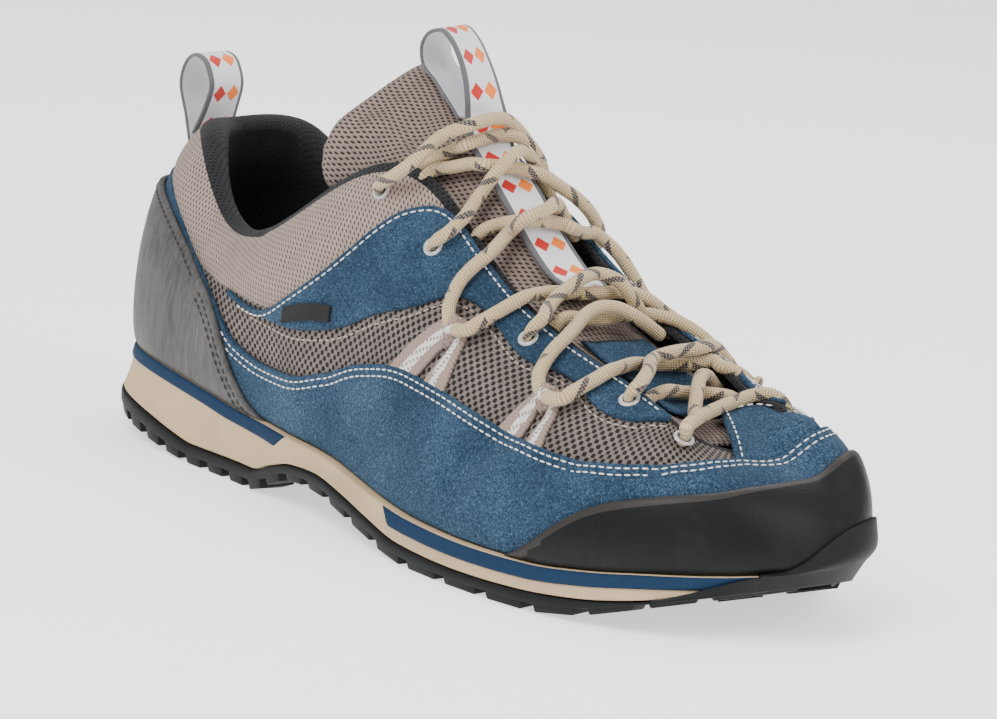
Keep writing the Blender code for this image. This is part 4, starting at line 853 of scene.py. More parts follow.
def counterPlace(w, t):
    shape = np.broadcast(w, t).shape
    w, t = np.broadcast_to(w, shape), np.broadcast_to(t, shape)
    front, top = np.array(counterSpec["front"]), np.array(counterSpec["top"])
    reach = runCurve(front[:, 1], front[:, 0], w.ravel()).reshape(shape)
    round_ = (2 * t - 1) * reach
    rise = runCurve(top[:, 0], top[:, 1], np.abs(round_).ravel()).reshape(shape) * w
    return round_, rise


bm = bmesh.new()
counterNet = makeOverlay(bm, counterPlace, gap, gap + last["overlay"], counterSpec)
makePiece("leather_counter", bm, (greyLeather,), ("heel_counter",))
bm = bmesh.new()
for side in ("low", "high"):
    for offset in (0.0022, 0.0045):
        addStitches(bm, *seamLine(counterNet, side, offset, 0.02, 0.97), threadSpec)
addStitches(bm, *seamLine(counterNet, "end", 0.0022, 0.03, 0.97), threadSpec)
makePiece("counter_stitches", bm, (darkThread,), ())

# Toe rand with its bevelled lip
randRows = np.array((
    (0.380, 0.015), (0.388, 0.14), (0.400, 0.29), (0.415, 0.39), (0.440, 0.46), (0.460, 0.51), (0.480, 0.58),
    (0.505, 0.63), (0.540, 0.62), (0.560, 0.56), (0.590, 0.36), (0.610, 0.20), (0.620, 0.015),
))
randSpec = {"step": 0.0014, "across": 26, "rim": 0.0022, "lengthAt": 1.0, "lip": 0.0030}
randFine = smoothRun(randRows, 12)


def randPlace(w, t):
    at = np.linspace(0, 1, len(randFine))
    round_, rise = np.interp(w, at, randFine[:, 0]), np.interp(w, at, randFine[:, 1])
    return round_ + 0 * t, rise * t


bm = bmesh.new()
makeOverlay(bm, randPlace, gap, gap + last["overlay"], randSpec, lip=randSpec["lip"])
makePiece("rubber_rand", bm, (randRubber, randLip), ("toe_rand",))

# Side tag, left bare
tagRows = ((0.214, 0.467, 0.214, 0.525), (0.236, 0.467, 0.236, 0.522), (0.258, 0.471, 0.256, 0.518))
tagSpec = {"step": 0.0012, "across": 8, "rim": 0.0003}
bm = bmesh.new()
makeOverlay(bm, between(tagRows), gap, gap + 0.0008, tagSpec)
makePiece("bare_tag", bm, (tagCloth,), ("side_tag",))
print("counter, rand and tag made")

# A closed net from rings round the sole, the top ring first, with ribs across its top and bottom
def solePlate(bm, rings, ribs=14):
    rings = np.array(rings)
    count = rings.shape[1]
    half = count // 2
    left, right = rings[:, :half + 1], np.roll(rings[:, ::-1], 1, axis=1)[:, :half + 1]
    f = np.linspace(0, 1, ribs)[:, None, None]
    top = left[0] * (1 - f) + right[0] * f
    bottom = right[-1] * (1 - f) + left[-1] * f
    net = np.concatenate([top, right[1:-1], bottom, left[-2:0:-1], top[:1]])
    addNet(bm, net, netMap(net))


soleSpec = {"stations": 360, "bandRise": 0.0040, "bandProud": 0.0004, "bandStations": 150}


def makeSole():
    round_ = np.arange(soleSpec["stations"]) / soleSpec["stations"]
    rings = []
    for depth, out in ((0.0, -0.0012), (0.0, -0.0004), (0.02, 0.0), (0.12, 0.0), (0.3, -0.0003),
                       (0.5, -0.0005), (0.7, -0.0004), (0.88, -0.0001), (0.96, 0.0), (0.99, -0.0003),
                       (1.0, -0.0010)):
        rings.append(soleSide(round_, depth, out))
    bm = bmesh.new()
    solePlate(bm, rings)
    return makePiece("foam_midsole", bm, (beigeFoam,), ("midsole",))


makeSole()


def depthOf(round_, height):
    foot, _, _ = footLine(round_)
    full = soleLevel(foot[:, 0], "feather") - soleLevel(foot[:, 0], "foam") - 2 * gap
    return height / full


# Blue strips along the top of the foam
bandEnds = (("heel", (-0.229, 0.229), (-0.213, 0.213)), ("front", (0.319, 0.681), (0.327, 0.673)))
for name, topEnds, lowEnds in bandEnds:
    f = np.linspace(0, 1, soleSpec["bandStations"])[:, None]
    top, low = topEnds[0] + (topEnds[1] - topEnds[0]) * f, lowEnds[0] + (lowEnds[1] - lowEnds[0]) * f
    depth = np.minimum(depthOf(low[:, 0], soleSpec["bandRise"]), 0.8)[:, None]
    t = np.array([0.0, 0.03, 0.10, 0.22, 0.4, 0.6, 0.78, 0.90, 0.97, 1.0])[None, :]
    lift = np.sqrt(1 - (1 - np.minimum(np.minimum(t, 1 - t) / 0.22, 1.0))**2)
    ends = np.sqrt(1 - (1 - np.minimum(np.minimum(f, 1 - f) / 0.01, 1.0))**2)
    places = top + (low - top) * t
    bm = bmesh.new()
    faces = soleSide(places, depth * t, -0.0006 + (0.0006 + soleSpec["bandProud"]) * lift * ends)
    addNet(bm, faces, netMap(faces))
    backs = soleSide(places, depth * t, -0.0006 - 0.0012 * lift * ends)
    addNet(bm, backs, netMap(backs))
    makePiece("blue_strip_" + name, bm, (blueFoam,), ("midsole_" + name + "_band",))

# Outsole: plate, side lugs, studs and the bumper over the toe
rubberSpec = {
    "lugReach": 0.013, "lugDraft": 0.0010, "heelPitch": 0.0115, "toePitch": 0.0172, "channel": 0.0034,
    "studRadius": 0.0085, "studPitch": 0.0280, "bevel": 0.0005,
    "bumperRows": ((0.438, -0.970), (0.448, -0.800), (0.458, -0.500), (0.466, -0.200), (0.473, 0.020),
                   (0.481, 0.060), (0.489, 0.120), (0.499, 0.200), (0.509, 0.250), (0.520, 0.280),
                   (0.540, 0.290), (0.560, 0.265), (0.575, 0.215), (0.588, 0.140), (0.600, 0.060),
                   (0.612, -0.150), (0.625, -0.600), (0.638, -0.970)),      # below 0: depth down the foam
    "bumperInner": 0.0019, "bumperOuter": 0.0033, "bumperBulge": 0.0043,
}


def sideLugPlaces(start, end):
    walk = np.linspace(start, end, 600)
    line = rubberOutline(walk, last["rubberFlare"])
    length = alongLength(line)
    share = smoothStep(line[:, 0] / last["length"], 0.35, 0.65)
    pitchAt = rubberSpec["heelPitch"] + (rubberSpec["toePitch"] - rubberSpec["heelPitch"]) * share
    places, s = [], rubberSpec["channel"] / 2
    while True:
        pitch = np.interp(s, length, pitchAt)
        if s + pitch - rubberSpec["channel"] / 2 > length[-1]:
            return places
        places.append(np.interp([s, s + pitch - rubberSpec["channel"]], length, walk))
        s += pitch


# One lug: a cube whose corners go to the plan, a little smaller at its foot, with its edges rounded
def addLug(bm, plan, middle):
    plan = np.array(plan)
    small = plan + unit(middle - plan) * rubberSpec["lugDraft"]
    made = bmesh.ops.create_cube(bm, size=1.0)["verts"]
    order = {(-1, -1): 0, (1, -1): 1, (1, 1): 2, (-1, 1): 3}
    for vert in made:
        k = order[(int(math.copysign(1, vert.co.x)), int(math.copysign(1, vert.co.y)))]
        x, y = plan[k] if vert.co.z > 0 else small[k]
        vert.co = (x, y, plateBottom(x) + 0.001 if vert.co.z > 0 else treadBottom(x))
    edges = {edge for vert in made for edge in vert.link_edges}
    bmesh.ops.bevel(bm, geom=list(edges), affect="EDGES", offset=rubberSpec["bevel"], segments=2,
                    profile=0.5, material=-1, clamp_overlap=True)


def makeOutsole():
    flare = last["rubberFlare"]
    round_ = np.arange(soleSpec["stations"]) / soleSpec["stations"]
    rings = []
    for out, mix in ((-0.0014, 0.0), (-0.0006, 0.0), (-0.0002, 0.08), (0.0, 0.2), (0.0, 0.5), (0.0, 0.8),
                     (-0.0002, 0.93), (-0.0008, 1.0)):
        drawn = rockerShare(round_)[:, None] * (rocker["plate"] + rocker["lower"] * mix)
        plan = rubberOutline(round_, flare + out - drawn)
        high, low = soleLevel(plan[:, 0], "foam"), plateBottom(plan[:, 0])
        rings.append(np.column_stack([plan, high + (low - high) * mix]))
    bm = bmesh.new()
    solePlate(bm, rings)
    rows = smoothRun(rubberSpec["bumperRows"], 12)
    place, rise = rows.T
    faces = []
    taper = np.sin(np.linspace(0, math.pi, len(place)))**0.35
    drawn = rockerShare(place)[:, None]
    for inward, outEdge, bulge in ((0.0, rubberSpec["bumperOuter"], rubberSpec["bumperBulge"]),
                                   (0.0024, rubberSpec["bumperInner"], rubberSpec["bumperInner"])):
        outFoot = flare - 0.0002 - inward - rocker["plate"] * drawn
        low = np.column_stack([rubberOutline(place, outFoot), np.zeros(len(place))])
        low[:, 2] = 0.5 * (plateBottom(low[:, 0]) + soleLevel(low[:, 0], "foam"))
        outMiddle = (0.3 * outEdge + 0.7 * (flare - 0.0002)) * (1 - drawn)
        outMiddle = outMiddle + rocker["feather"] * drawn - inward
        middle = np.column_stack([rubberOutline(place, outMiddle), np.zeros(len(place))])
        middle[:, 2] = soleLevel(middle[:, 0], "feather")
        above = np.maximum(rise, 0.0)
        half, top = skin(place, above * 0.55, bulge), skin(place, above, outEdge)
        onFoam = (rise < 0)[:, None]
        side = soleSide(place, np.maximum(-rise, 0.0), 0.0016 - 0.3 * inward)
        top = np.where(onFoam, side, top)
        middle = np.where(onFoam, (low + side) / 2, middle)
        half = np.where(onFoam, low * 0.2 + side * 0.8, half)
        faces.append(np.array([smoothRun(np.array(four), 5) for four in zip(low, middle, half, top)]))
    outer, inner = faces
    inner = outer + (inner - outer) * taper[:, None, None]
    start, end = outer[:, -1], inner[:, -1]
    up = unit(outer[:, -1] - outer[:, -2] + 1e-9) * np.linalg.norm(start - end, axis=1)[:, None] * 0.35
    lip = np.stack([(start + end) / 2 + (start - end) / 2 * math.cos(a) + up * math.sin(a)
                    for a in np.linspace(0, math.pi, 9)[1:-1]], 1)
    net = np.concatenate([outer, lip, inner[:, ::-1], outer[:, :1]], 1)
    addNet(bm, net, netMap(net))
    for start, end in ((0.0, 0.5), (1.0, 0.5)):
        for first, final in sideLugPlaces(start, end):
            ends = np.array([first, final])
            edge = flare - rocker["lug"] * rockerShare(ends)[:, None]
            outer = rubberOutline(ends, edge - 0.0001)
            plan = np.concatenate([outer, rubberOutline(ends[::-1], edge[::-1] - rubberSpec["lugReach"])])
            addLug(bm, plan, plan.mean(0))
    edge = rubberOutline(np.linspace(0, 1, 400),
                         flare - rubberSpec["lugReach"] - rubberSpec["channel"] - rubberSpec["studRadius"])
    diamond = np.array([[1, 0], [0, 1], [-1, 0], [0, -1]]) * rubberSpec["studRadius"]
    for row in range(1, int(last["length"] / rubberSpec["studPitch"])):
        x = (row + 0.5) * rubberSpec["studPitch"]
        near = edge[np.abs(edge[:, 0] - x) < rubberSpec["studPitch"] / 3]
        low = near[near[:, 1] < 0][:, 1].max(initial=-1.0)
        high = near[near[:, 1] > 0][:, 1].min(initial=1.0)
        if len(near) < 2 or high - low < 0 or high > 0.1 or low < -0.1:
            continue
        count = max(1, int((high - low) / rubberSpec["studPitch"]) + 1)
        for k in range(count):
            middle = np.array([x, (low + high) / 2 + (k - (count - 1) / 2) * rubberSpec["studPitch"]])
            addLug(bm, middle + diamond, middle)
    return makePiece("rubber_outsole", bm, (blackRubber,), ("outsole",), 35)


makeOutsole()

# Insole, dished: its top edge, the dish inside it and its underside
insoleSpec = {"stations": 240, "dishWidth": 0.004, "thickness": 0.0030, "rimRise": 0.0006}
insoleRound = np.arange(insoleSpec["stations"]) / insoleSpec["stations"]
insoleLevels = ((0.0, insoleSpec["thickness"] + insoleSpec["rimRise"]),
                (insoleSpec["dishWidth"], insoleSpec["thickness"]), (0.0, 0.0))
inset = upperFace - last["wall"] - 2 * gap
rings = []
for inwards, above in insoleLevels:
    ring = skin(insoleRound, 0.0, inset - inwards)
    ring[:, 2] = soleLevel(ring[:, 0], "feather") + above
    rings.append(ring)
bm = bmesh.new()
solePlate(bm, rings)
makePiece("dark_insole", bm, (blackLining,), ("insole",))
print("sole made")

# Tongue: lines across it from the toe up, edge to edge
throatMiddle = 0.020 * last["ballWidth"]
tongueRows = (      # place, rise, crown, pad
    (0.452, 0.840, -0.004, 0.9), (0.438, 0.840, -0.008, 1.2), (0.415, 0.860, -0.014, 1.4),
    (0.388, 0.860, -0.022, 1.5), (0.362, 0.860, -0.012, 1.6), (0.341, 0.870, 0.040, 1.7),
    (0.320, 0.890, 0.082, 1.8), (0.300, 0.930, 0.115, 1.9), (0.281, 0.970, 0.130, 2.1),
    (0.264, 0.990, 0.140, 2.6),
)
tipRows = (         # along, rise, half width, drop, pad
    (0.412, 1.022, 0.155, 0.200, 3.8), (0.395, 1.062, 0.200, 0.285, 4.4), (0.386, 1.085, 0.205, 0.300, 3.6),
    (0.382, 1.096, 0.190, 0.290, 1.6),
)


def lineAcross(edge, lip, middle, farLip, farEdge):
    crown = np.array(middle) - (lip + farLip) / 2
    flat = 0.25 if crown[2] > 0 else 0.5
    near, far = (lip + middle) / 2 + crown * flat, (farLip + middle) / 2 + crown * flat
    return np.array([edge, lip, near, middle, far, farLip, farEdge], float)


def tongueLines():
    lines = []
    inner = upperFace - last["wall"] - 0.0010
    for place, rise, crown, _ in tongueRows:
        places = np.array([place, place, 1 - place, 1 - place])
        edge, lip, farLip, farEdge = skin(places, np.array([rise, 1.0, 1.0, rise]), inner, False)
        moved = unit(farLip - lip) * 0.0028
        lip, farLip = lip + moved, farLip - moved
        middle = (lip + farLip) / 2 + np.array([0, 0, crown * last["height"]])
        lines.append(lineAcross(edge, lip, middle, farLip, farEdge))
    centre = [(along * last["length"], soleLevel(along * last["length"], "feather") + rise * last["height"])
              for along, rise, *_ in tipRows]
    for k, (along, rise, halfWidth, drop, _) in enumerate(tipRows):
        before, after = centre[max(k - 1, 0)], centre[min(k + 1, len(centre) - 1)]
        way = unit(np.array(after) - np.array(before))
        middle = np.array([centre[k][0], throatMiddle, centre[k][1]])
        sides = []
        for t in (-1.0, -0.75, 0.75, 1.0):
            fall = np.abs([way[1], 0.0, -way[0]]) * t * t * drop * last["height"]
            sides.append(middle + np.array([0.0, t * halfWidth * last["ballWidth"], 0.0]) - fall)
        lines.append(lineAcross(sides[0], sides[1], middle, sides[2], sides[3]))
    return np.array(lines)


# The sides that hang down inside the collar, one place a line on the outer side
wingRows = ((0.1085, -0.0195, 0.0900), (0.0985, -0.0215, 0.0880),
            (0.0935, -0.0220, 0.0925), (0.0920, -0.0205, 0.1000))
wingFlap = ((0.341, 0.80), (0.320, 0.80), (0.300, 0.79), (0.281, 0.77), (0.264, 0.75))


def wingedLines():
    lines = tongueLines()
    drops = dict(wingFlap)
    wings = []
    for place, rise, *_ in tongueRows:
        depth = upperFace - last["wall"] - 0.0010 - 0.0030 * (place in drops)
        wings.append(skin(np.array([place, 1 - place]), drops.get(place, rise - 0.05), depth, False))
    for wing in wingRows:
        wings.append(np.array([wing, (wing[0], 2 * throatMiddle - wing[1], wing[2])]))
    wings = np.array(wings)
    return np.concatenate([wings[:, :1], lines, wings[:, 1:]], 1)


def tongueNet(betweenRows, betweenColumns, wings=False):
    lines = smoothRun(wingedLines() if wings else tongueLines(), betweenRows)
    return np.array([smoothRun(line, betweenColumns) for line in lines])


def upNormals(net):
    normals = unit(np.cross(np.gradient(net, axis=0), np.gradient(net, axis=1)))
    return normals * np.sign(normals[:, :, 2].sum())


# A pad between its top face and its thickness, closed at rounded rims
def addPad(bm, top, normals, thick, rim, sink=0.5):
    sides = [top[0], top[-1], top[:, 0], top[:, -1]]
    near = np.minimum.reduce([awayFrom(top, line) for line in sides])
    lift = np.sqrt(1 - (1 - np.clip(near / rim, 0, 1))**2)
    lift[[0, -1]] = 0
    lift[:, [0, -1]] = 0
    middle = top - normals * thick[..., None] * sink
    uvs = netMap(top)
    uvs[..., 0] -= uvs[:, uvs.shape[1] // 2, 0][:, None]
    addNet(bm, middle + normals * (thick * sink * lift)[..., None], uvs)
    addNet(bm, middle - normals * (thick * (1 - sink) * lift)[..., None], uvs)


tongueFine = tongueNet(7, 6, True)
tonguePads = smoothRun([[row[3]] for row in tongueRows] + [[row[4]] for row in tipRows], 7) * last["wall"]
across = np.linspace(-1, 1, tongueFine.shape[1])[None, :]
bm = bmesh.new()
addPad(bm, tongueFine, upNormals(tongueFine), tonguePads * (1 - 0.55 * across**6), 0.0035)
tonguePiece = makePiece("padded_tongue", bm, (tongueKnit,), ("tongue",))

coverNet = tongueNet(7, 7)[17:36, 10:40]
coverNormals = upNormals(tongueNet(7, 7))[17:36, 10:40]
bm = bmesh.new()
addPad(bm, coverNet + coverNormals * (gap + last["suede"]), coverNormals,
       np.full(coverNet.shape[:2], last["suede"]), 0.0006, 0.5)
makePiece("suede_tongue_cover", bm, (suedeBlue,), ("tongue_cover",))

# Vamp: the suede over the toe, from the outer side's free edge to the inner flap
vampSpec = {
    "low": ((0.484, -0.010), (0.497, -0.010), (0.512, -0.010), (0.527, -0.010),
            (0.541, -0.010), (0.555, -0.010)),
    "top": ((0.2466, 0.0078, 0.0514), (0.2474, 0.0130, 0.0524), (0.2505, 0.0182, 0.0536),
            (0.2575, 0.0215, 0.0526), (0.2618, 0.0220, 0.0510), (0.2650, 0.0208, 0.0493)),
    "bulge": 0.0014, "farBulge": 0.0014, "columns": 60, "rows": 44,
}
places = np.array(vampSpec["low"])
edgeRise = runCurve(mudguardRows[:, 0], mudguardRows[:, 1], places[:, 0]) + places[:, 1]
low = evenRun(smoothRun(skin(places[:, 0], edgeRise, -0.0006), 8), vampSpec["columns"])[:, None]
top = evenRun(smoothRun(vampSpec["top"], 8), vampSpec["columns"])[:, None]
f = np.linspace(0, 1, vampSpec["rows"])[None, :, None]
vamp = low * (1 - f) + top * f
swell = vampSpec["bulge"] + vampSpec["farBulge"] * smoothStep(np.linspace(0, 1, len(vamp)), 0.25, 0.75)
vamp = vamp + upNormals(vamp) * swell[:, None, None] * 4 * f * (1 - f)
bm = bmesh.new()
addPad(bm, vamp, upNormals(vamp), np.full(vamp.shape[:2], last["suede"]), 0.0006, 0.5)
makePiece("suede_vamp", bm, (suedeBlue,), ())
vampNet = {"flat": vamp, "edges": {"start": vamp[0], "high": vamp[:, -1]}}
bm = bmesh.new()
for side, first, final in (("start", 0.04, 0.97), ("high", 0.06, 1.0)):
    line, normals = seamLine(vampNet, side, 0.0017, first, final)
    addStitches(bm, line + normals * last["suede"] * 0.5, normals, threadSpec)
makePiece("vamp_stitches", bm, (whiteThread,), ())
print("tongue made")

# Tapes: down the tongue with its pull loop, and the heel's loop
tapeSpec = {
    "width": 0.0155, "thickness": 0.0011, "firstRow": 5,
    "overLace": 0.0036, "overAt": 0.1945, "overWidth": 0.0065,
    "loopRows": (       # along, height and slant of the loop's middle line
        (0.1410, 0.1150, 0.00), (0.1390, 0.1200, -0.15), (0.1365, 0.1255, -0.30), (0.1332, 0.1305, -0.40),
        (0.1288, 0.1353, -0.45), (0.1238, 0.1384, -0.48), (0.1200, 0.1386, -0.48), (0.1158, 0.1368, -0.46),
        (0.1137, 0.1328, -0.42), (0.1158, 0.1277, -0.35), (0.1225, 0.1240, -0.25), (0.1300, 0.1196, -0.10),
        (0.1372, 0.1150, 0.00)),
    "heelRows": (
        (0.0034, 0.0862, 0.00), (-0.0004, 0.0941, -0.12), (-0.0053, 0.1029, -0.25), (-0.0042, 0.1094, -0.28),
        (0.0004, 0.1133, -0.28), (0.0061, 0.1126, -0.28), (0.0093, 0.1093, -0.28), (0.0109, 0.1045, -0.28),
        (0.0083, 0.0972, -0.22), (0.0058, 0.0919, -0.12), (0.0048, 0.0890, 0.00)),
}


def tapeLaid():
    net = tongueNet(0, 1)[tapeSpec["firstRow"]:len(tongueRows)]
    middle = net.shape[1] // 2
    normals = upNormals(net)[:, middle]
    laid = net[:, middle].copy()
    for line, point in zip(net, laid):
        sides = point[1] + np.linspace(-0.5, 0.5, 7) * tapeSpec["width"]
        point[2] = np.interp(sides, line[:, 1], line[:, 2]).max()
    doubled = smoothStep(np.linspace(0, 1, len(laid)), 0.6, 0.95) * (tapeSpec["thickness"] + gap)
    return smoothRun(laid + normals * (2 * gap + tapeSpec["thickness"] / 2 + doubled)[:, None], 1)


def addRibbon(bm, centre, plainSide):
    length = alongLength(centre)
    centre = evenRun(centre, int(length[-1] / 0.0011))
    centre, slant = centre[:, :3], centre[:, 3]
    length = alongLength(centre)
    sideways = np.stack([slant, np.ones(len(slant)), np.zeros(len(slant))], 1)
    normals = unit(np.cross(np.gradient(centre, axis=0), sideways))
    half, thick = tapeSpec["width"] / 2, tapeSpec["thickness"] / 2
    flat = np.linspace(-1, 1, 15)
    turns = np.linspace(0, math.pi, 7)[1:-1]
    spots = [(a * (half - thick), thick) for a in flat]
    spots += [(half - thick + thick * math.sin(a), thick * math.cos(a)) for a in turns]
    spots += [(a * (half - thick), -thick) for a in flat[::-1]]
    spots += [(-half + thick - thick * math.sin(a), -thick * math.cos(a)) for a in turns]
    spots = np.array(spots + spots[:1])
    close = np.ones(len(centre))
    close[[0, -1]] = 0
    net = centre[:, None] + sideways[:, None] * spots[None, :, :1]
    net = net + normals[:, None] * (spots[None, :, 1:] * close[:, None, None])
    uvs = np.stack([np.broadcast_to(length[:, None], net.shape[:2]),
                    np.broadcast_to(spots[None, :, 0], net.shape[:2])], 2)
    finishOf = np.zeros((len(centre) - 1, len(spots) - 1), int)
    first = 0 if plainSide == "under" else len(flat) + len(turns)
    finishOf[:, first:first + len(flat) - 1] = 1
    addNet(bm, net, uvs, finishOf)


laid = tapeLaid()
laidFine = smoothRun(laid[:-2], 6)
overAway = (laidFine[:, 0] - tapeSpec["overAt"]) / tapeSpec["overWidth"]
laidFine[:, 2] += tapeSpec["overLace"] * np.exp(-overAway**2)
bm = bmesh.new()
loop = np.array([(x, throatMiddle, z, slant) for x, z, slant in tapeSpec["loopRows"]])
laidFine = np.column_stack([laidFine, np.zeros(len(laidFine))])
addRibbon(bm, np.concatenate([laidFine, smoothRun(np.concatenate([laidFine[-1:], loop]), 6)[1:]]), "under")
makePiece("tongue_tape_loop", bm, (tapeWeave, plainTape), ("tongue_tape",))
sewn = skin(np.zeros(2), np.array([0.77, 0.81]), upperFace + upperSpec["puff"] + gap + 0.0006)
heelLoop = np.array([(x, 0.0, z, slant) for x, z, slant in tapeSpec["heelRows"]])
bm = bmesh.new()
addRibbon(bm, smoothRun(np.concatenate([np.column_stack([sewn, [0, 0]]), heelLoop]), 8), "over")
makePiece("heel_pull_loop", bm, (tapeWeave, plainTape), ("heel_loop",))
print("tapes made")

# Eyelets, and the lace through them
laceRows = ((0.446, 0.867, 1), (0.398, 0.900, 2), (0.347, 0.883, 3), (0.297, 0.850, 4), (0.2535, 0.905, 5))
eyeletSpec = {"ring": 0.00235, "wire": 0.00065, "flat": 0.7, "hole": 0.0019,
              "farShift": 0.024, "farDrop": 0.067}


def laceHole(number, side, out):
    place, rise, _ = laceRows[number - 1]
    if side == "inner":
        first = number == 1
        place, rise = 1 - place + eyeletSpec["farShift"] * first, rise - eyeletSpec["farDrop"] * first
    at, up = np.array([place]), np.array([rise])
    return skin(at, up, out)[0], skinNormal(at, up)[0]


for side in ("outer", "inner"):
    for place, rise, number in laceRows:
        base = upperFace + 0.0006 if number == 5 else 0.0
        centre, normal = laceHole(number, side, base)
        turn = Matrix.Translation(centre) @ Vector(normal).to_track_quat("Z", "Y").to_matrix().to_4x4()
        bm = bmesh.new()
        ring = bmesh.ops.create_circle(bm, segments=12, radius=eyeletSpec["wire"])["verts"]
        stand = Matrix.Translation((eyeletSpec["ring"], 0, 0.0003)) @ Matrix.Rotation(math.pi / 2, 4, "X")
        bmesh.ops.transform(bm, matrix=stand, verts=ring)
        bmesh.ops.scale(bm, vec=(1, 1, eyeletSpec["flat"]), verts=ring)
        bmesh.ops.spin(bm, geom=bm.verts[:] + bm.edges[:], cent=(0, 0, 0), axis=(0, 0, 1), angle=math.tau,
                       steps=32, use_merge=True)
        before = len(bm.faces)
        bmesh.ops.create_cone(bm, cap_ends=True, segments=24, radius1=eyeletSpec["hole"],
                              radius2=eyeletSpec["hole"], depth=0.0005)
        bm.faces.ensure_lookup_table()
        for face in bm.faces[before:]:
            face.material_index = 1
        bmesh.ops.transform(bm, matrix=turn, verts=bm.verts[:])
        makePiece("ring_" + side + "_" + str(number), bm, (eyeletPaint, darkThread),
                  ("eyelet_" + side + "_" + str(number),))
print("eyelets made")

# The lace: each strand's line is a list of points, set over places picked in the photo
laceSpec = {"radius": 0.00195, "pinch": 0.28, "pinchReach": 0.0045, "step": 0.0009,
            "sides": 14, "inside": -0.0045, "above": 0.0012, "loopOut": 0.0012}
loopPlaces = {"front": (0.368, 0.700), "rear": (0.3235, 0.705)}


# Where a strand ends: in an eyelet, from inside to just above it, or in a webbing loop's fold
def inEyelet(number, side):
    return [laceHole(number, side, laceSpec["inside"])[0], laceHole(number, side, laceSpec["above"])[0]]


def inLoop(name, side):
    place, rise = loopPlaces[name]
    place = place if side == "outer" else 1 - place
    return [skin(np.array([place]), np.array([rise]), laceSpec["loopOut"])[0]]


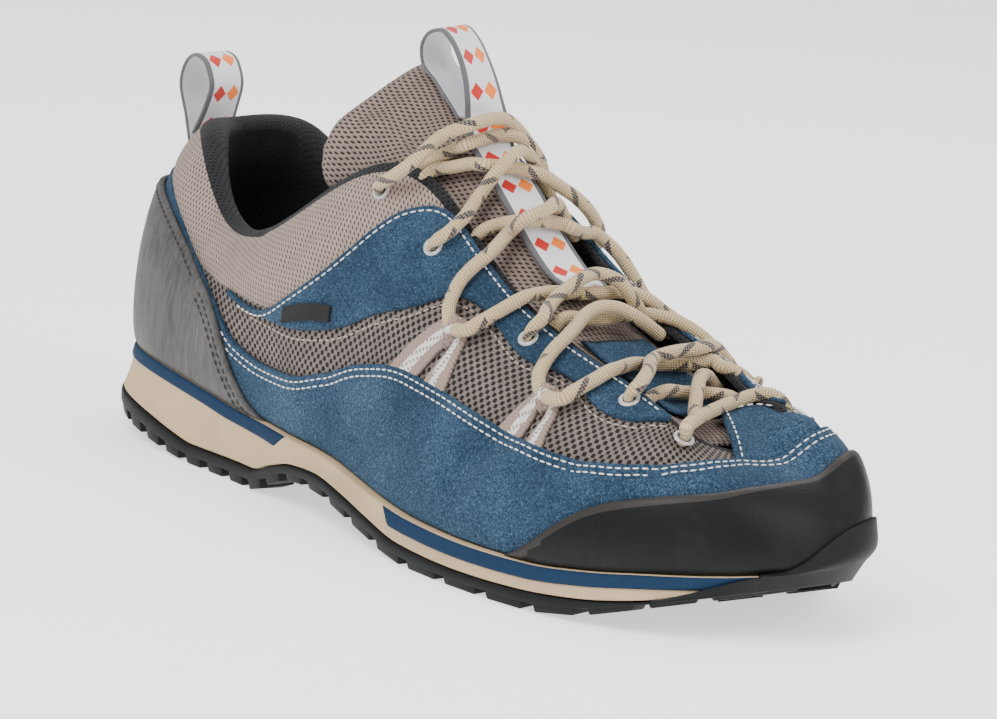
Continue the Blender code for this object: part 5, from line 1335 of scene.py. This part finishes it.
strands = {
    "bar": (
        (*inEyelet(1, "outer"), (0.2650, -0.0192, 0.0531), (0.2590, -0.0110, 0.0532),
         (0.2524, -0.0017, 0.0528), (0.2481, 0.0071, 0.0531), (0.2476, 0.0128, 0.0542),
         (0.2476, 0.0182, 0.0554), (0.2495, 0.0222, 0.0560), (0.2515, 0.0255, 0.0545),
         (0.2530, 0.0285, 0.0500)),
    ),
    "crossing_1": (
        ((0.2410, -0.0190, 0.0500), (0.2400, -0.0150, 0.0525), (0.2390, -0.0100, 0.0550),
         (0.2385, -0.0044, 0.0562), (0.2386, 0.0016, 0.0554), (0.2390, 0.0074, 0.0550),
         (0.2424, 0.0136, 0.0545), (0.2437, 0.0160, 0.0535), (0.2450, 0.0200, 0.0515)),
        ((0.2590, -0.0150, 0.0480), (0.2560, -0.0110, 0.0502), (0.2530, -0.0064, 0.0515),
         (0.2474, -0.0016, 0.0535), (0.2423, 0.0033, 0.0585), (0.2369, 0.0087, 0.0592),
         (0.2324, 0.0147, 0.0580), (0.2305, 0.0185, 0.0555), (0.2290, 0.0230, 0.0520)),
    ),
    "crossing_2": (
        (*inLoop("front", "outer"), (0.2283, -0.0334, 0.0536), (0.2302, -0.0303, 0.0560),
         (0.2321, -0.0248, 0.0594), (0.2327, -0.0207, 0.0615), (0.2300, -0.0150, 0.0615),
         (0.2223, -0.0039, 0.0604), (0.2222, 0.0020, 0.0599), (0.2218, 0.0082, 0.0594),
         (0.2254, 0.0139, 0.0598), (0.2281, 0.0198, 0.0612), (0.2313, 0.0206, 0.0601),
         (0.2345, 0.0235, 0.0590), (0.2380, 0.0275, 0.0562), *inEyelet(2, "inner")[::-1]),
        (*inEyelet(2, "outer"), (0.2454, -0.0203, 0.0605), (0.2400, -0.0130, 0.0625),
         (0.2276, -0.0014, 0.0625), (0.2268, 0.0037, 0.0636), (0.2261, 0.0090, 0.0640),
         (0.2272, 0.0133, 0.0645), (0.2270, 0.0175, 0.0650), (0.2245, 0.0225, 0.0645),
         (0.2225, 0.0285, 0.0610), *inLoop("front", "inner")),
    ),
    "crossing_3": (
        ((0.2003, -0.0190, 0.0630), (0.2005, -0.0160, 0.0655), (0.2009, -0.0122, 0.0693),
         (0.2029, -0.0050, 0.0693), (0.2037, 0.0002, 0.0692), (0.2019, 0.0076, 0.0692),
         (0.2000, 0.0140, 0.0688), (0.2008, 0.0176, 0.0690), (0.2060, 0.0200, 0.0690),
         (0.2100, 0.0230, 0.0680), (0.2160, 0.0290, 0.0630), *inLoop("front", "inner")),
        (*inLoop("front", "outer"), (0.2169, -0.0322, 0.0570), (0.2144, -0.0285, 0.0606),
         (0.2131, -0.0244, 0.0639), (0.2126, -0.0201, 0.0669), (0.2095, -0.0140, 0.0695),
         (0.2069, -0.0092, 0.0715), (0.2067, -0.0044, 0.0732), (0.2072, 0.0008, 0.0730),
         (0.2085, 0.0055, 0.0712), (0.2095, 0.0110, 0.0680), (0.2100, 0.0170, 0.0640)),
    ),
    "crossing_4": (
        (*inLoop("rear", "outer"), (0.1846, -0.0334, 0.0639), (0.1870, -0.0304, 0.0665),
         (0.1897, -0.0255, 0.0702), (0.1922, -0.0203, 0.0738), (0.1915, -0.0140, 0.0746),
         (0.1923, -0.0093, 0.0750), (0.1952, -0.0029, 0.0748), (0.1957, 0.0056, 0.0748),
         (0.1925, 0.0140, 0.0738), (0.1930, 0.0180, 0.0735), (0.1960, 0.0210, 0.0725),
         (0.1990, 0.0255, 0.0690), *inEyelet(3, "inner")[::-1]),
        (*inEyelet(3, "outer"), (0.2037, -0.0218, 0.0704), (0.2009, -0.0180, 0.0725),
         (0.1985, -0.0130, 0.0752), (0.1980, -0.0090, 0.0772), (0.1975, -0.0040, 0.0796),
         (0.1956, 0.0021, 0.0803), (0.1976, 0.0061, 0.0796), (0.2000, 0.0090, 0.0775),
         (0.2010, 0.0125, 0.0730), (0.2005, 0.0180, 0.0670)),
    ),
    "crossing_5": (
        ((0.1610, -0.0185, 0.0805), (0.1620, -0.0165, 0.0840), (0.1635, -0.0137, 0.0873),
         (0.1663, -0.0105, 0.0894), (0.1717, -0.0090, 0.0912), (0.1729, -0.0041, 0.0914),
         (0.1733, 0.0016, 0.0911), (0.1743, 0.0067, 0.0903), (0.1755, 0.0087, 0.0894),
         (0.1715, 0.0165, 0.0870), (0.1700, 0.0225, 0.0860), (0.1735, 0.0290, 0.0800),
         (0.1790, 0.0340, 0.0700), *inLoop("rear", "inner")),
        (*inLoop("rear", "outer"), (0.1753, -0.0328, 0.0680), (0.1735, -0.0300, 0.0722),
         (0.1729, -0.0271, 0.0759), (0.1736, -0.0238, 0.0794), (0.1746, -0.0202, 0.0825),
         (0.1735, -0.0160, 0.0850), (0.1715, -0.0107, 0.0880), (0.1762, -0.0096, 0.0925),
         (0.1777, -0.0060, 0.0945), (0.1768, -0.0009, 0.0958), (0.1743, 0.0025, 0.0965),
         (0.1720, 0.0060, 0.0955), (0.1695, 0.0100, 0.0920), (0.1680, 0.0145, 0.0875),
         (0.1670, 0.0180, 0.0840)),
    ),
    "crossing_6": (
        ((0.1380, -0.0180, 0.0925), (0.1385, -0.0175, 0.0955), (0.1390, -0.0170, 0.0985),
         (0.1400, -0.0140, 0.1009), (0.1443, -0.0115, 0.1022), (0.1500, -0.0092, 0.1041),
         (0.1551, -0.0082, 0.1045), (0.1561, -0.0030, 0.1042), (0.1573, 0.0020, 0.1036),
         (0.1590, 0.0066, 0.1026), (0.1599, 0.0100, 0.1015), (0.1605, 0.0162, 0.0980),
         (0.1608, 0.0215, 0.0950), (0.1610, 0.0275, 0.0900), (0.1605, 0.0315, 0.0840),
         *inEyelet(4, "inner")[::-1]),
        (*inEyelet(4, "outer"), (0.1614, -0.0245, 0.0867), (0.1615, -0.0207, 0.0898),
         (0.1618, -0.0191, 0.0914), (0.1590, -0.0145, 0.0940), (0.1579, -0.0103, 0.0980),
         (0.1600, -0.0080, 0.1030), (0.1605, -0.0049, 0.1063), (0.1605, -0.0025, 0.1082),
         (0.1590, 0.0004, 0.1090), (0.1570, 0.0045, 0.1085), (0.1545, 0.0095, 0.1050),
         (0.1535, 0.0150, 0.0985), (0.1530, 0.0195, 0.0920)),
    ),
    "top": (
        (*inEyelet(5, "outer"), (0.1353, -0.0264, 0.0981), (0.1406, -0.0255, 0.1018),
         (0.1430, -0.0225, 0.1055), (0.1418, -0.0165, 0.1095), (0.1448, -0.0136, 0.1125),
         (0.1487, -0.0100, 0.1150), (0.1480, -0.0045, 0.1160), (0.1473, 0.0003, 0.1165),
         (0.1465, 0.0050, 0.1158), (0.1455, 0.0105, 0.1125), (0.1435, 0.0165, 0.1075),
         (0.1400, 0.0240, 0.1015), (0.1360, 0.0275, 0.0965), *inEyelet(5, "inner")[::-1]),
        ((0.1330, -0.0160, 0.0950), (0.1340, -0.0150, 0.0990), (0.1357, -0.0143, 0.1020),
         (0.1389, -0.0116, 0.1045), (0.1421, -0.0088, 0.1072), (0.1465, -0.0094, 0.1090),
         (0.1480, -0.0048, 0.1106), (0.1467, 0.0020, 0.1115), (0.1470, 0.0084, 0.1110),
         (0.1480, 0.0130, 0.1085), (0.1485, 0.0170, 0.1035), (0.1480, 0.0195, 0.0975)),
    ),
}


holePlaces = np.array([laceHole(number, side, 0.0)[0]
                       for number in range(1, 6) for side in ("outer", "inner")])


# A round lace along a line, rounded at both hidden ends and drawn thin in the eyelets
def addLace(bm, line, start=0.0):
    line = smoothRun(line, 6)
    line = evenRun(line, int(alongLength(line)[-1] / laceSpec["step"]))
    length = alongLength(line)
    tangent = unit(np.gradient(line, axis=0))
    side = unit(np.cross(tangent[0], [0.0, 0.0, 1.0]))
    sides = []
    for way in tangent:
        side = side - way * (side @ way)
        side /= np.linalg.norm(side)
        sides.append(side)
    sides = np.array(sides)
    ups = np.cross(tangent, sides)
    near = np.minimum(length, length[-1] - length) / laceSpec["radius"]
    radius = laceSpec["radius"] * np.sqrt(1 - (1 - np.clip(near, 0, 1))**2)
    away = np.linalg.norm(line[:, None] - holePlaces[None], axis=2).min(1)
    radius = radius * (1 - laceSpec["pinch"] * (1 - smoothStep(away, 0.0015, laceSpec["pinchReach"])))
    angles = np.linspace(0, math.tau, laceSpec["sides"] + 1)[None, :, None]
    spokes = sides[:, None] * np.cos(angles) + ups[:, None] * np.sin(angles)
    net = line[:, None] + radius[:, None, None] * spokes
    uvs = np.stack(np.broadcast_arrays(np.linspace(0, 1, laceSpec["sides"] + 1)[None, :],
                                       (length + start)[:, None]), 2)
    addNet(bm, net, uvs)


for number, (name, lines) in enumerate(strands.items()):
    bm = bmesh.new()
    for k, line in enumerate(lines):
        addLace(bm, np.array([tuple(point) for point in line]), 0.0171 * number + 0.0093 * k)
    makePiece("lace_strand_" + name, bm, (laceBraid,), ("lace_" + name,))
print("lace made")

# Camera at the photograph's angle
cameraSpec = {"azimuth": 51.6757, "elevation": 11.1872, "roll": 4.6363, "distance": 1.2661, "lens": 157.73,
              "target": (0.1500, 0.0063, 0.0461)}
azimuth, elevation, roll = [math.radians(cameraSpec[name]) for name in ("azimuth", "elevation", "roll")]
back = Vector((math.sin(azimuth) * math.cos(elevation), -math.cos(azimuth) * math.cos(elevation),
               math.sin(elevation)))
level = Vector((math.cos(azimuth), math.sin(azimuth), 0.0))
upright = back.cross(level)
right = level * math.cos(roll) + upright * math.sin(roll)
up = upright * math.cos(roll) - level * math.sin(roll)
camera = bpy.data.objects.new("camera", bpy.data.cameras.new("camera"))
camera.data.lens, camera.data.sensor_width, camera.data.sensor_fit = cameraSpec["lens"], 36.0, "HORIZONTAL"
camera.data.clip_start = 0.05
turned = Matrix((right, up, back)).transposed().to_4x4()
camera.matrix_world = Matrix.Translation(
    Vector(cameraSpec["target"]) + shift + back * cameraSpec["distance"]) @ turned
bpy.context.scene.collection.objects.link(camera)
bpy.context.scene.camera = camera

# Pale floor, soft lights and a bright, even world
floorFinish, tree, shader = newFinish("paleFloor", Roughness=0.75, Specular_IOR_Level=0.1,
                                      Emission_Strength=1.0, Emission_Color=(1.0, 1.0, 1.0, 1.0))
tree.links.new(blendColour(tree, noise(tree, 3.0), (0.90, 0.90, 0.90), (0.93, 0.93, 0.93)),
               shader.inputs["Base Color"])
bm = bmesh.new()
bmesh.ops.create_grid(bm, x_segments=8, y_segments=8, size=5.0)
floorMesh = bpy.data.meshes.new("floor")
bm.to_mesh(floorMesh)
bm.free()
floorMesh.materials.append(floorFinish)
floor = bpy.data.objects.new("floor", floorMesh)
bpy.context.scene.collection.objects.link(floor)
lightRows = (       # name, azimuth, elevation, distance, size, power
    ("key", 15, 52, 1.3, 0.80, 15.0),
    ("side", 110, 35, 1.4, 0.80, 9.0),
    ("back", 215, 55, 1.5, 1.00, 10.0),
)
for name, lightAzimuth, lightElevation, distance, size, power in lightRows:
    lamp = bpy.data.lights.new(name, "AREA")
    lamp.size, lamp.energy = size, power
    lit = bpy.data.objects.new(name, lamp)
    a, e = math.radians(lightAzimuth), math.radians(lightElevation)
    way = Vector((math.sin(a) * math.cos(e), -math.cos(a) * math.cos(e), math.sin(e)))
    lit.location = way * distance + Vector((0, 0, 0.05))
    lit.rotation_euler = way.to_track_quat("Z", "Y").to_euler()
    bpy.context.scene.collection.objects.link(lit)
world = bpy.data.worlds.new("studio")
world.use_nodes = True
world.node_tree.nodes["Background"].inputs["Color"].default_value = (1.0, 1.0, 1.0, 1.0)
world.node_tree.nodes["Background"].inputs["Strength"].default_value = 0.65
bpy.context.scene.world = world

print("scene ready")
